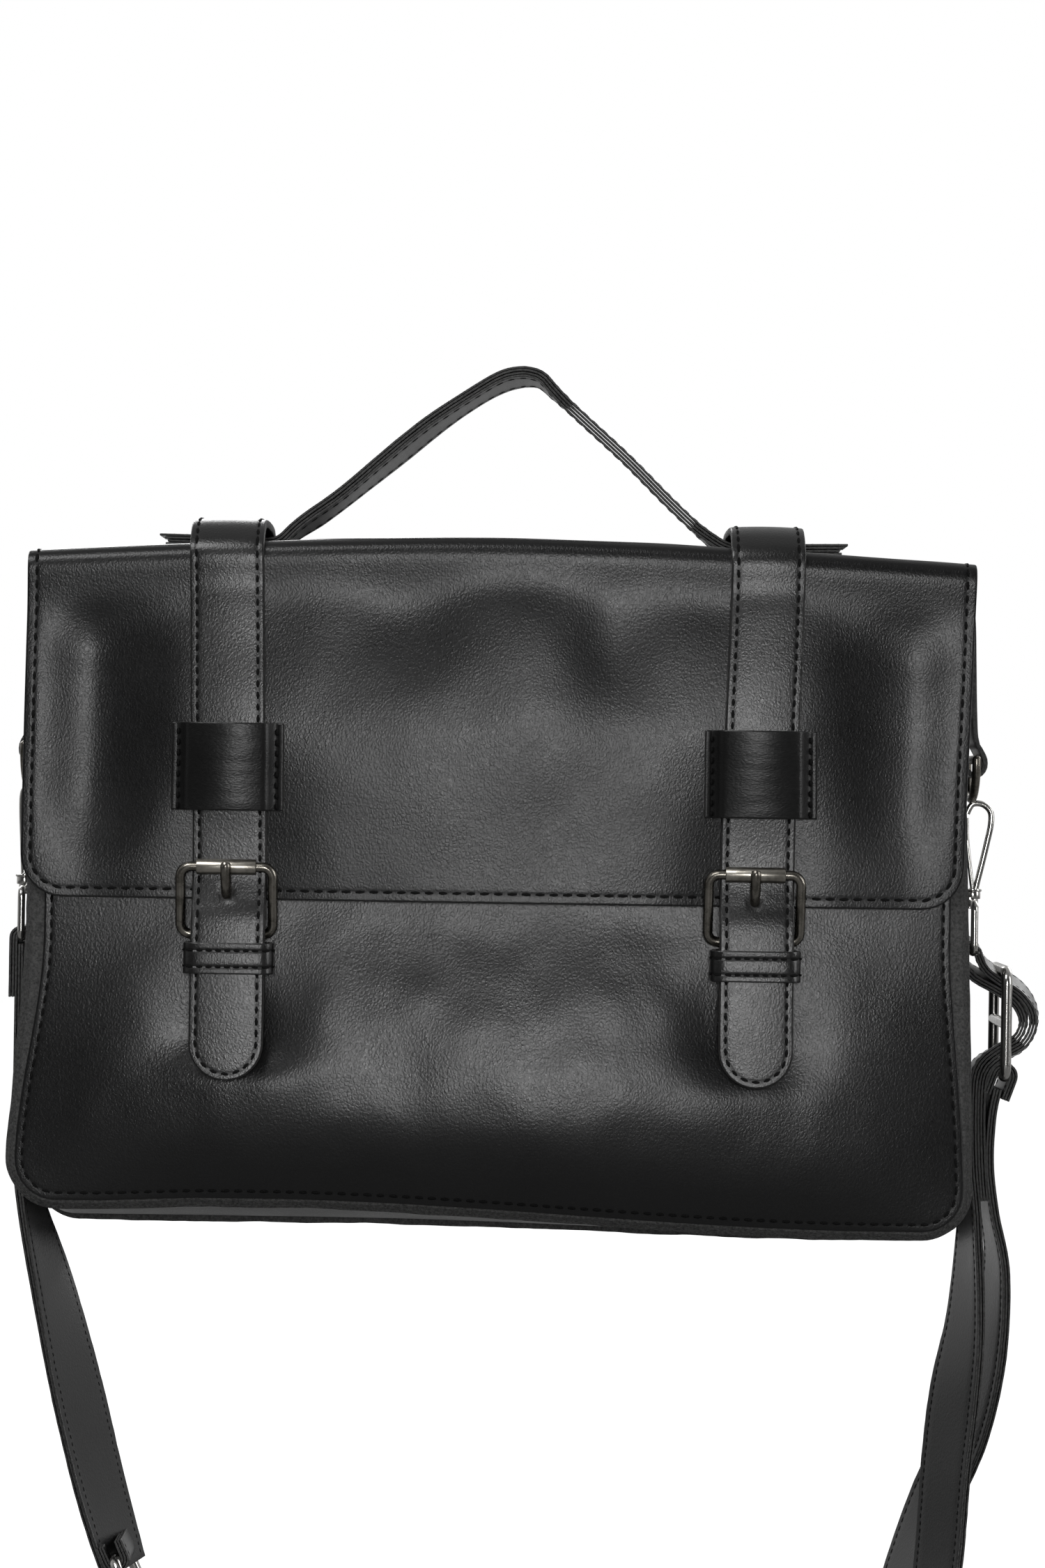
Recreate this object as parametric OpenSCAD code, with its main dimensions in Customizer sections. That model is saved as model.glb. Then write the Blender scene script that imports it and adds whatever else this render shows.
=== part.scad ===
// Satchel bag that hangs by its top handle, with its shoulder sling hanging below.
// Millimetres, +Z up, front towards -Y. The origin is where a hook carries the handle.

/* [Body] */
// Width over the side walls
body_w = 370; // [350:1:390]
// Depth between the front and back panels
body_d = 80; // [74:1:96]
// Height from the mouth to the outside of the base
body_h = 263; // [250:1:275]
// Thickness of the walls
shell_t = 2.4; // [1.8:0.1:3]
// Radius of the lower corners of the side wall strip
corner_r = 22; // [16:1:28]
// Width of the outward seam round the panels
seam_w = 5.5; // [4:0.5:7]
// How much lower the back panel hangs than the front one
back_drop = 6; // [2:1:10]
// Thickness of the plies in each outward seam
welt_t = 3.4; // [2.4:0.2:4.4]
// Thickness of the lining
lining_t = 1; // [0.6:0.1:1.6]
// Thickness of the stiffener in the base
board_t = 2; // [1.5:0.5:3]

/* [Flap] */
// Thickness of the flap
flap_t = 2.8; // [2:0.2:3.6]
// Height of the flap's front
flap_drop = 141; // [130:1:150]
// Radius of the flap's lower corners
flap_r = 17; // [10:1:24]

/* [Front straps] */
// Distance of each strap from the middle
strap_x = 105; // [98:1:112]
// Width of the front straps
strap_w = 30; // [26:1:32]
// Thickness of the front straps
strap_t = 3.2; // [2.4:0.2:3.6]
// How far a strap's tail ends below the flap's top
strap_drop = 212.5; // [206:0.5:222]
// Width of the wide loop over each strap, with its tabs
loop_w = 44; // [42:1:48]
// Height of the wide loop
loop_h = 34.7; // [28:0.1:36]
// Height of the keeper under each buckle
keeper_h = 12; // [10:1:12]
// Thickness of the loops, keepers and tabs
band_t = 1.6; // [1.2:0.1:1.8]
// Diameter of each hidden magnetic snap
snap_d = 18; // [14:1:20]

/* [Buckles] */
// Outside width of a buckle
buckle_w = 40; // [40:1:44]
// Distance between a buckle's roller bar and heel bar
buckle_pitch = 27.5; // [26:0.5:29]
// Diameter of a buckle's side bars
buckle_wire = 4.4; // [4:0.2:4.6]
// Diameter of the heel bar
heel_d = 4; // [3.4:0.2:4.2]
// Diameter of the bar inside the roller
roller_bar_d = 3.4; // [3:0.2:3.6]
// Outside diameter of the roller
roller_d = 6.2; // [5.6:0.1:6.6]
// Length of the roller
roller_len = 23.5; // [20:0.5:25]
// Width of the prong
prong_w = 4.6; // [3.6:0.2:5]
// Thickness of the prong
prong_t = 2.6; // [2:0.2:2.8]

/* [Handle] */
// Width of the handle strip
handle_w = 24; // [20:1:25]
// Thickness of the handle strip
handle_t = 4.2; // [3.6:0.2:4.8]
// Height of the hook's seat above the flap's top
handle_rise = 70; // [66:1:76]
// How far each flat handle end reaches from the middle
handle_reach = 134; // [128:1:140]
// How far the hook's seat is to the right of the bag's middle
hang_offset = 7.5; // [5:0.5:10]

/* [Side rings and hooks] */
// Wire diameter of a D-ring
ring_wire = 3.5; // [3:0.1:3.8]
// Radius of a D-ring to its wire's centre
ring_r = 15; // [14.5:0.5:16]
// Width of the tab that holds a D-ring
tab_w = 25; // [20:1:26]
// Wire diameter of a snap hook
hook_wire = 2.8; // [2.4:0.1:3]
// Radius of a hook's bow to its wire's centre
hook_r = 5.2; // [5:0.1:5.6]
// Length of a hook from its bow to its barrel
hook_len = 30; // [28:1:32]
// Wire diameter of a swivel eye
eye_wire = 3; // [2.6:0.1:3.2]
// Distance between a swivel eye's top and bottom bars
eye_h = 19.7; // [18:0.1:22]

/* [Shoulder sling] */
// Width of the sling
sling_w = 30; // [26:1:31]
// Thickness of the sling
sling_t = 3.2; // [2.8:0.1:3.2]
// Wire diameter of the sling's slides
slide_wire = 4.4; // [3.8:0.2:4.6]
// Outside length of a slide
slide_h = 47; // [46:0.5:49]

/* [Hidden] */

$fn = 48;
run_fit = 0.09;      // radial clearance of a turning fit
gap = 0.3;           // air between pieces on different bodies
slack = 0.2;         // air between neighbours on one body

// heights
top_z = -handle_rise;                        // flap's upper face
mouth_z = top_z - flap_t - gap - slack;      // upper edge of the body
base_z = mouth_z - body_h;                   // outside of the base
front_bottom_z = base_z;                     // lower edge of the front panel
back_bottom_z = base_z - back_drop;          // lower edge of the back panel
waist_z = top_z - flap_drop - 15;            // the panels widen from here down to the base

// distances from the middle plane
panel_y = body_d / 2;
face_y = panel_y + shell_t;                  // outside of the front and back panels
flap_in = face_y + 2 * gap;
flap_out = flap_in + flap_t;
side_x = body_w / 2;
panel_x = side_x + seam_w;                   // half width of the panels at the base
chain_x = side_x + 7.5;                      // the rings, hooks and eyes hang here

// buckles: the frame leans from the roller in front of the strap to the heel bar behind it
roller_z = top_z - 128.6;
buckle_lean = 12.8;
strap_at_roller = flap_out + 1;                          // back of the strap there
roller_y = strap_at_roller + strap_t + roller_d / 2 + slack;
heel_y = roller_y - buckle_pitch * sin(buckle_lean);
heel_z = roller_z - buckle_pitch * cos(buckle_lean);
chape_r = heel_d / 2 + run_fit + band_t;                 // outside of the leather round the heel bar
strap_at_heel = heel_y + chape_r + 0.6;                  // back of the strap there
tail_z = top_z - strap_drop;
strap_at_tail = strap_at_heel + 3;
loop_top_z = top_z - 71.7;
keeper_z = heel_z - chape_r - slack / 2;                 // upper edge of the keeper
snap_z = keeper_z - keeper_h - snap_d / 2 - 2;
chape_back = heel_y - band_t;                            // back of the two chape plies
stud_t = 1.5;
chape_end_z = snap_z - snap_d / 2 - 5;

// side chain
ring_bar_z = top_z - 81.5;
ring_arc_z = ring_bar_z - 1;                             // centre of the round part
ring_low_z = ring_arc_z - ring_r;
hook_arc_z = ring_low_z + ring_wire / 2 + gap + hook_wire / 2 - hook_r;
barrel_z = hook_arc_z - hook_len;                        // top of the barrel
barrel_h = 8;
barrel_r = 3.4;
post_r = 1.6;
boss_h = 4.5;
eye_top_z = barrel_z - barrel_h - gap - boss_h / 2;
eye_low_z = eye_top_z - eye_h;
eye_w = sling_w + 3;

// prong, seen from the side: it leans out from the heel bar to the front of the roller
prong_lean = 23;
prong_reach = 29.8;
slot_w = prong_w + 1.6;
slot_h = 17;
slot_z = heel_z + 9.4;

// smooth curve through hand-set points, several steps to each stretch
steps = 4;
function at(p, i) = p[max(0, min(len(p) - 1, i))];
function curve_point(p, i, s) =
    0.5 * (2 * at(p, i) + (at(p, i + 1) - at(p, i - 1)) * s
    + (2 * at(p, i - 1) - 5 * at(p, i) + 4 * at(p, i + 1) - at(p, i + 2)) * s * s
    + (3 * at(p, i) - at(p, i - 1) - 3 * at(p, i + 1) + at(p, i + 2)) * s * s * s);
function curve(p) = [for (i = [0 : len(p) - 2], k = [0 : steps - 1]) curve_point(p, i, k / steps),
    at(p, len(p))];
function unit(v) = v / norm(v);
function xyz(q) = [q[0], q[1], q[2]];
function along(p, i) = unit(xyz(at(p, i + 1)) - xyz(at(p, i - 1)));

// flat strip swept along [x, y, z, turn]; turn 0 keeps its width along Y
function strip_ring(p, i, w, t) =
    let (dir = along(p, i), side = unit(cross(dir, [0, 1, 0])),
        across = [0, 1, 0] * cos(at(p, i)[3]) + side * sin(at(p, i)[3]), up = unit(cross(across, dir)))
    [for (c = [[-1, -1], [1, -1], [1, 1], [-1, 1]])
        xyz(at(p, i)) + across * c[0] * w / 2 + up * c[1] * t / 2];
module strip(route, w, t) {
    p = curve([for (q = route) [spread(q[0]), q[1], q[2], q[3]]]);
    n = len(p);
    points = [for (i = [0 : n - 1], q = strip_ring(p, i, w, t)) q];
    sides = [for (i = [0 : n - 2], k = [0 : 3], half = [0, 1])
        half == 0 ? [4 * i + k, 4 * i + (k + 1) % 4, 4 * i + 4 + (k + 1) % 4]
            : [4 * i + k, 4 * i + 4 + (k + 1) % 4, 4 * i + 4 + k]];
    ends = [[3, 2, 1], [3, 1, 0], [4 * n - 4, 4 * n - 3, 4 * n - 2], [4 * n - 4, 4 * n - 2, 4 * n - 1]];
    polyhedron(points = points, faces = concat(sides, ends));
}

// the sling's places are drawn for a body this wide, and move out or in with its sides
drawn_w = 370;
side_ways = 150;                                         // beyond this the whole change counts
function spread(x) = x + sign(x) * min(1, abs(x) / side_ways) * (body_w - drawn_w) / 2;

// routes of the sling: x, y, z and turn
left_route = [[-193.4, 0, -252, 0], [-193.4, 0, -285, 0], [-193.4, 0, -315, 0], [-190.5, 0, -338, 7],
    [-182, 0, -371, 20], [-172.5, 0, -412, 29], [-163, 0, -448, 29], [-155, 0, -472, 27]];
right_route = [[196, 0, -233, 0], [200.2, 0, -237, 0], [205.6, 0, -241.6, 0], [213, 0, -247.5, 0],
    [218.8, 0, -257, 0], [215.5, 0, -266.5, 0], [206, 0, -270.2, 0], [196.4, 0, -275.8, 0], [193.8, 0, -288, 0],
    [193.8, 0, -315, 0], [194.5, 0, -338, -6], [193.5, 0, -379, -19], [189.5, 0, -410, -31],
    [186.3, 0, -441, -31], [183.5, 0, -482, -29], [178, 0, -515, -22], [168, 0, -545, -12],
    [150, 0, -570, -4], [122, 0, -588, 0], [80, 0, -600, 0], [35, 0, -605, 0], [-10, 0, -604, 0],
    [-55, 0, -596, 0], [-92, 0, -579, 0], [-118, 0, -553, 0], [-130.2, 0, -527.5, 0]];
return_route = [[203.3, 0, -284.6, 0], [201.2, 0, -296, 0], [200.5, 0, -315, 0], [202.5, 0, -335, -2],
    [206, 1, -359, -8], [203.5, 5, -393, -18], [196.5, 14, -425, -25], [186, 25, -450, -27],
    [178.5, 32.5, -466, -25], [171, 33, -482, -22], [159.5, 28, -512, -18], [147, 18, -540, -10],
    [130, 8, -561, -4], [106, 2, -578, 0], [76, 0, -589.5, 0], [35, 0, -596, 0], [-10, 0, -596, 0],
    [-50, 0, -588, 0], [-84, 0, -573, 0], [-105, 0, -555, 0], [-115, 0, -539, 0]];
under_route = [[194, 0, -235.4, 0], [197, 0, -240, 0], [200.5, 0, -247, 0]];
slide_upper_at = [spread(205.6), 0, -258];
slide_lower_at = [spread(-142), 0, -500];
slide_lower_lean = 24;
slide_pitch = (slide_h - slide_wire) / 2;                // centre bar to either end bar

// centre line of the handle strip, from the left foot to the right one
handle_line = [[-92, -67.6], [-84, -61.5], [-68, -50], [-47, -32.6], [-28, -17], [-10, -4.6], [0, 0.6],
    [7.5, 2.1], [14, 1], [20, -4.4], [31, -14.4], [50, -31.4], [68, -49], [82, -61.5], [92, -67.6]];
handle_pivot_z = top_z + handle_t / 2;
handle_split_r = 22;

// ---- helpers ----

// outline of a panel in XZ, with round lower corners, as [x, z]
module panel_outline(top_half, low_half, z_top, z_low, r, waist = []) {
    arc = [for (a = [0 : 6 : 90]) [low_half - r + r * cos(a), z_low + r - r * sin(a)]];
    right = concat([[top_half, z_top]], waist, arc);
    left = [for (i = [len(right) - 1 : -1 : 0]) [-right[i][0], right[i][1]]];
    polygon(concat(right, left));
}

// extrude an XZ outline from y0 back to y1
module plate(y0, y1) {
    translate([0, y1, 0]) rotate([90, 0, 0]) linear_extrude(y1 - y0) children();
}

// extrude a YZ outline from x0 to x1
module slab(x0, x1) {
    translate([x0, 0, 0]) rotate([90, 0, 90]) linear_extrude(x1 - x0) children();
}

module rod_x(x0, x1, y, z, r) { translate([x0, y, z]) rotate([0, 90, 0]) cylinder(r = r, h = x1 - x0); }
module rod_y(y0, y1, x, z, r) { translate([x, y0, z]) rotate([-90, 0, 0]) cylinder(r = r, h = y1 - y0); }

// round wire bent to a rectangle in XZ; w and h are to the wire's centre
module wire_frame(w, h, bend, r, top_r, low_r) {
    for (s = [-1, 1]) {
        translate([s * w / 2, 0, -h / 2 + bend]) cylinder(r = r, h = h - 2 * bend);
        for (u = [-1, 1])
            translate([s * (w / 2 - bend), 0, u * (h / 2 - bend)]) rotate([90, 0, 0])
                rotate([0, 0, s > 0 ? (u > 0 ? 0 : 270) : (u > 0 ? 90 : 180)])
                rotate_extrude(angle = 90) translate([bend, 0]) circle(r = r);
    }
    rod_x(-w / 2 + bend, w / 2 - bend, 0, h / 2, top_r);
    rod_x(-w / 2 + bend, w / 2 - bend, 0, -h / 2, low_r);
}

module bag_place() { translate([-hang_offset, 0, 0]) children(); }

// ---- body ----

module gusset_outline() {
    panel_outline(side_x, side_x, mouth_z, base_z, corner_r);
}
module panel_shape(low_z) {
    panel_outline(side_x - 1, panel_x, mouth_z, low_z, corner_r + seam_w, [[side_x - 1, waist_z]]);
}

module front_panel() bag_place() {
    color("#1b1b1c") plate(-face_y, -panel_y) panel_shape(front_bottom_z);
}
module back_panel() bag_place() {
    color("#1a1a1b") plate(panel_y, face_y) panel_shape(back_bottom_z);
}
module side_gusset() bag_place() {
    color("#202021") plate(-panel_y, panel_y) difference() {
        gusset_outline();
        translate([0, 1]) panel_outline(side_x - shell_t, side_x - shell_t, mouth_z,
            base_z + shell_t - 1, corner_r - shell_t);
    }
}

// plies sewn outwards between a panel and the gusset, from under the flap downwards
module seam_welt(y0, y1, low_z) {
    plate(y0, y1) intersection() {
        difference() {
            panel_shape(low_z);
            panel_outline(side_x + slack / 4, side_x + slack / 4, mouth_z + 1, base_z - slack / 4, corner_r);
        }
        translate([-panel_x - 1, low_z - 1]) square([2 * panel_x + 2, (mouth_z - low_z) * 0.55]);
    }
}
module front_seam_welt() bag_place() {
    color("#3a3a3a") seam_welt(-panel_y, -panel_y + welt_t, front_bottom_z - seam_w / 2);
}
module back_seam_welt() bag_place() {
    color("#3a3a3a") seam_welt(panel_y - welt_t, panel_y, back_bottom_z);
}

lining_x = side_x - shell_t - slack;
board_z = base_z + shell_t;
lining_z = board_z + board_t + slack;
module lining() bag_place() {
    color("#4a4642") difference() {
        plate(-panel_y + slack, panel_y - slack)
            panel_outline(lining_x, lining_x, mouth_z - 4, lining_z, corner_r);
        plate(-panel_y + slack + lining_t, panel_y - slack - lining_t)
            panel_outline(lining_x - lining_t, lining_x - lining_t, mouth_z, lining_z + lining_t,
                corner_r - lining_t);
    }
}
module base_board() bag_place() {
    color("#8a7a62") translate([-side_x + corner_r + 4, -panel_y + 2, board_z])
        cube([2 * (side_x - corner_r - 4), 2 * (panel_y - 2), board_t]);
}

// tab sewn on the side wall, folded round the ring's bar
roll_r = ring_wire / 2 + run_fit + 2.2;
module side_tab(s) {
    x0 = s * side_x;
    x1 = s * (chain_x + 1);
    color("#2a2a2a") difference() {
        union() {
            plate(-tab_w / 2, tab_w / 2) polygon([[x0, top_z - 22], [x0 + s * 3.4, top_z - 22],
                [x1, top_z - 50], [s * (chain_x + roll_r - 1.6), ring_bar_z + 2.6], [s * chain_x, ring_bar_z],
                [s * (chain_x - roll_r + 1), ring_bar_z + 2.6], [x0, top_z - 60]]);
            rod_y(-tab_w / 2, tab_w / 2, s * chain_x, ring_bar_z, roll_r);
        }
        rod_y(-tab_w / 2 - 1, tab_w / 2 + 1, s * chain_x, ring_bar_z, ring_wire / 2 + run_fit);
    }
}
module side_tab_left() bag_place() side_tab(-1);
module side_tab_right() bag_place() side_tab(1);

module magnet_socket(x) {
    color("#8d8a84") translate([x, -face_y, snap_z]) rotate([90, 0, 0])
        cylinder(d = snap_d, h = chape_back - stud_t - slack - face_y);
}
module magnet_socket_left() bag_place() magnet_socket(-strap_x);
module magnet_socket_right() bag_place() magnet_socket(strap_x);

// ---- flap ----

module flap_top() bag_place() {
    color("#1d1d1e") translate([-side_x, -flap_out + slack, top_z - flap_t])
        cube([body_w, flap_out - slack + lift_y - slack, flap_t]);
}

strap_lift = handle_t + 3.2;       // the strap bridges the handle's end
bend_r = 13.4;
module front_strap_top(x) {
    mid_y = -flap_out + 15.8;
    inner = concat([[36, top_z], [22, top_z], [13, top_z + strap_lift]],
        [for (a = [90 : -10 : 30]) [mid_y - bend_r * cos(a), top_z + strap_lift - bend_r + bend_r * sin(a)]]);
    outer = concat([for (a = [30 : 10 : 90]) [mid_y - (bend_r + strap_t) * cos(a),
        top_z + strap_lift - bend_r + (bend_r + strap_t) * sin(a)]],
        [[14, top_z + strap_lift + strap_t], [23.5, top_z + strap_t], [36, top_z + strap_t]]);
    color("#191919") slab(x - strap_w / 2, x + strap_w / 2) polygon(concat(inner, outer));
}
module front_strap_top_left() bag_place() front_strap_top(-strap_x);
module front_strap_top_right() bag_place() front_strap_top(strap_x);

// handle strip in XZ, flat feet included
function offset_line(p, d) = [for (i = [0 : len(p) - 1])
    let (t = unit(at(p, i + 1) - at(p, i - 1))) p[i] + [-t[1], t[0]] * d];
foot_z = top_z + handle_t / 2;
handle_shape = concat([[-handle_reach, foot_z]], handle_line, [[handle_reach, foot_z]]);
module handle_strip() {
    line = curve([for (q = handle_shape) [q[0], q[1]]]);
    plate(-handle_w / 2, handle_w / 2)
        polygon(concat(offset_line(line, handle_t / 2),
            [for (i = [len(line) - 1 : -1 : 0]) offset_line(line, -handle_t / 2)[i]]));
}
module handle_end(s) {
    color("#3c3c3c") intersection() {
        handle_strip();
        rod_x(s < 0 ? -handle_reach - 1 : 40, s < 0 ? -40 : handle_reach + 1, 0, handle_pivot_z,
            handle_split_r);
    }
}
module handle_end_left() bag_place() handle_end(-1);
module handle_end_right() bag_place() handle_end(1);
module handle_grip() bag_place() {
    color("#2e2e2e") difference() {
        handle_strip();
        rod_x(-handle_reach - 1, handle_reach + 1, 0, handle_pivot_z, handle_split_r + gap);
    }
}

module flap_front() bag_place() {
    color("#1d1d1e") plate(-flap_out, -flap_in)
        panel_outline(side_x, side_x, top_z - flap_t - gap, top_z - flap_drop, flap_r);
}

// back face of the strap, as [y, z] from the fold to the tail
function strap_back() = [[-flap_out, top_z - 4], [-flap_out, loop_top_z - loop_h - 2],
    [-strap_at_roller, roller_z], [-strap_at_heel, heel_z], [-strap_at_tail, tail_z]];
module front_strap(x) {
    back = strap_back();
    color("#191919") intersection() {
        slab(x - strap_w / 2, x + strap_w / 2) polygon(concat(back,
            [for (i = [len(back) - 1 : -1 : 0]) back[i] - [strap_t, 0]]));
        plate(-flap_out - 30, -flap_out + 5) difference() {
            union() {
                translate([x - strap_w / 2, tail_z + strap_w / 2])
                    square([strap_w, top_z - tail_z - strap_w / 2]);
                translate([x, tail_z + strap_w / 2]) circle(d = strap_w);
            }
            for (u = [-1, 1]) translate([x, slot_z + u * (slot_h - slot_w) / 2]) circle(d = slot_w);
            translate([x - slot_w / 2, slot_z - (slot_h - slot_w) / 2]) square([slot_w, slot_h - slot_w]);
        }
    }
}
module front_strap_left() bag_place() front_strap(-strap_x);
module front_strap_right() bag_place() front_strap(strap_x);

module strap_loop(x) {
    in = strap_w / 2 + 1.2;
    out = in + band_t;
    lift = flap_out + strap_t + slack;
    color("#222223") translate([x, 0, loop_top_z - loop_h]) linear_extrude(loop_h)
        polygon([[-loop_w / 2, -flap_out], [-loop_w / 2, -flap_out - band_t], [-out, -flap_out - band_t],
            [-out, -lift - band_t], [out, -lift - band_t], [out, -flap_out - band_t],
            [loop_w / 2, -flap_out - band_t], [loop_w / 2, -flap_out], [in, -flap_out], [in, -lift],
            [-in, -lift], [-in, -flap_out]]);
}
module strap_loop_left() bag_place() strap_loop(-strap_x);
module strap_loop_right() bag_place() strap_loop(strap_x);

// ---- buckles ----

module at_buckle(x) {
    translate([x, -(roller_y + heel_y) / 2, (roller_z + heel_z) / 2]) rotate([buckle_lean, 0, 0]) children();
}
module buckle_frame(x) {
    color("#7d7366") at_buckle(x) wire_frame(buckle_w - buckle_wire, buckle_pitch, 5, buckle_wire / 2,
        roller_bar_d / 2, heel_d / 2);
}
module buckle_frame_left() bag_place() buckle_frame(-strap_x);
module buckle_frame_right() bag_place() buckle_frame(strap_x);

module buckle_roller(x) {
    color("#a39a8c") difference() {
        rod_x(x - roller_len / 2, x + roller_len / 2, -roller_y, roller_z, roller_d / 2);
        rod_x(x - roller_len, x + roller_len, -roller_y, roller_z, roller_bar_d / 2 + run_fit);
    }
}
module buckle_roller_left() bag_place() buckle_roller(-strap_x);
module buckle_roller_right() bag_place() buckle_roller(strap_x);

prong_ring_r = heel_d / 2 + run_fit + 1.4;
module buckle_prong(x) {
    color("#8d8375") translate([x, -heel_y, heel_z]) difference() {
        union() {
            rod_x(-prong_w / 2, prong_w / 2, 0, 0, prong_ring_r);
            rotate([prong_lean, 0, 0]) translate([-prong_w / 2, -prong_t / 2, 0])
                cube([prong_w, prong_t, prong_reach]);
            rotate([prong_lean, 0, 0]) translate([-prong_w / 2, 0, prong_reach]) rotate([0, 90, 0])
                cylinder(d = prong_t, h = prong_w);
        }
        rod_x(-prong_w, prong_w, 0, 0, heel_d / 2 + run_fit);
    }
}
module buckle_prong_left() bag_place() buckle_prong(-strap_x);
module buckle_prong_right() bag_place() buckle_prong(strap_x);

// two-ply tab that carries the heel bar, slotted for the prong
chape_w = strap_w - 2;
module buckle_chape(x) {
    color("#242424") difference() {
        union() {
            rod_x(x - chape_w / 2 + 2, x + chape_w / 2 - 2, -heel_y, heel_z, chape_r);
            plate(-heel_y - band_t, -heel_y + band_t) {
                translate([x - chape_w / 2, chape_end_z + chape_w / 3])
                    square([chape_w, heel_z - chape_r - chape_end_z - chape_w / 3]);
                translate([x - chape_w / 2 + 2, heel_z - chape_r]) square([chape_w - 4, chape_r]);
                for (u = [-1, 1]) translate([x + u * (chape_w / 6), chape_end_z + chape_w / 3])
                    circle(r = chape_w / 3);
            }
        }
        rod_x(x - chape_w, x + chape_w, -heel_y, heel_z, heel_d / 2 + slack / 4);
        translate([x - prong_w / 2 - gap, -heel_y - 10, heel_z - prong_ring_r - gap])
            cube([prong_w + 2 * gap, 20, 20]);
    }
}
module buckle_chape_left() bag_place() buckle_chape(-strap_x);
module buckle_chape_right() bag_place() buckle_chape(strap_x);

// band round the strap and the chape
module keeper(x) {
    in = strap_w / 2 + 1.4;
    y_front = strap_at_heel + strap_t + 1.4;
    y_back = chape_back - slack;
    color("#222223") translate([x, 0, keeper_z - keeper_h]) linear_extrude(keeper_h) difference() {
        translate([-in - band_t, -y_front - band_t]) square([2 * (in + band_t), y_front - y_back + 2 * band_t]);
        translate([-in, -y_front]) square([2 * in, y_front - y_back]);
    }
}
module keeper_left() bag_place() keeper(-strap_x);
module keeper_right() bag_place() keeper(strap_x);

module magnet_stud(x) {
    color("#9a9790") translate([x, -chape_back + stud_t, snap_z]) rotate([90, 0, 0])
        cylinder(d = snap_d, h = stud_t);
}
module magnet_stud_left() bag_place() magnet_stud(-strap_x);
module magnet_stud_right() bag_place() magnet_stud(strap_x);

// ---- side rings and hooks ----

module d_ring(s) {
    r = ring_wire / 2;
    color("#c4c0b8") translate([s * chain_x, 0, 0]) {
        translate([0, 0, ring_arc_z]) rotate([90, 0, 90]) rotate([0, 0, 180])
            rotate_extrude(angle = 180) translate([ring_r, 0]) circle(r = r);
        rod_y(-ring_r, ring_r, 0, ring_bar_z, r);
        for (u = [-1, 1]) {
            translate([0, u * ring_r, ring_arc_z]) cylinder(r = r, h = ring_bar_z - ring_arc_z);
            translate([0, u * ring_r, ring_bar_z]) sphere(r = r);
        }
    }
}
module d_ring_left() bag_place() d_ring(-1);
module d_ring_right() bag_place() d_ring(1);

// hook in XZ: bow, outer leg and barrel with the swivel post; its gate is on the bag's side
hook_foot = 1.9;
gate_pin_x = -2.3;
gate_pin_z = barrel_z + 1.2;
nose_turn = 12;
gate_w = 3;
ear_r = 1.3;                                  // ears that hold the gate's pin
ear_t = 1.2;
module snap_hook(s) {
    r = hook_wire / 2;
    leg_x = hook_r * cos(5);
    leg_dz = hook_arc_z - barrel_z;
    leg_len = sqrt(pow(leg_x - hook_foot, 2) + leg_dz * leg_dz);
    color("#b9b4aa") translate([s * chain_x, 0, 0]) mirror([s < 0 ? 1 : 0, 0, 0]) {
        translate([0, 0, hook_arc_z]) rotate([90, 0, 0]) rotate([0, 0, -5])
            rotate_extrude(angle = 185 + nose_turn) translate([hook_r, 0]) circle(r = r);
        translate([hook_foot, 0, barrel_z]) rotate([0, atan2(leg_x - hook_foot, leg_dz), 0]) {
            translate([0, 0, -1]) cylinder(r = r - 0.04, h = leg_len + 1);
            translate([0, 0, leg_len]) sphere(r = r + 0.06);
        }
        difference() {
            translate([0, 0, barrel_z - barrel_h]) cylinder(r = barrel_r, h = barrel_h);
            translate([-barrel_r - 1, -gate_w / 2 - slack, barrel_z - 1.2])
                cube([barrel_r + 1, gate_w + 2 * slack, 2]);
        }
        for (u = [-1, 1]) translate([gate_pin_x, u * (gate_w / 2 + gap + ear_t / 2), 0]) {
            translate([0, 0, gate_pin_z]) rotate([90, 0, 0]) cylinder(r = ear_r, h = ear_t, center = true);
            translate([0, 0, (gate_pin_z + barrel_z - 1) / 2])
                cube([2 * ear_r - 0.2, ear_t, gate_pin_z - barrel_z + 1], center = true);
        }
        rod_y(-gate_w / 2 - 1, gate_w / 2 + 1, gate_pin_x, gate_pin_z, 0.7);
        translate([0, 0, barrel_z - barrel_h - gap * 2 - boss_h - 1.6])
            cylinder(r = post_r, h = boss_h + 2 * gap + 1.6 + 0.1);
        translate([0, 0, barrel_z - barrel_h - gap * 2 - boss_h - 1.6]) cylinder(r = 2.8, h = 1.6);
    }
}
module snap_hook_left() bag_place() snap_hook(-1);
module snap_hook_right() bag_place() snap_hook(1);

// lever from the pin near the barrel up to the inside of the hook's nose
module hook_gate(s) {
    nose_x = -hook_r * cos(nose_turn);
    nose_z = hook_arc_z - hook_r * sin(nose_turn);
    rise = nose_z - hook_wire / 2 - gap - gate_pin_z;
    color("#a8a39a") translate([s * chain_x, 0, 0]) mirror([s < 0 ? 1 : 0, 0, 0]) difference() {
        union() {
            rod_y(-gate_w / 2, gate_w / 2, gate_pin_x, gate_pin_z, 1.5);
            translate([0, gate_w / 2, 0]) rotate([90, 0, 0]) linear_extrude(gate_w)
                polygon([[gate_pin_x - 1.5, gate_pin_z], [gate_pin_x + 1.2, gate_pin_z + 0.6],
                    [nose_x + 0.9, gate_pin_z + rise], [nose_x - 0.9, gate_pin_z + rise]]);
        }
        rod_y(-gate_w, gate_w, gate_pin_x, gate_pin_z, 0.7 + run_fit);
    }
}
module hook_gate_left() bag_place() hook_gate(-1);
module hook_gate_right() bag_place() hook_gate(1);

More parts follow.
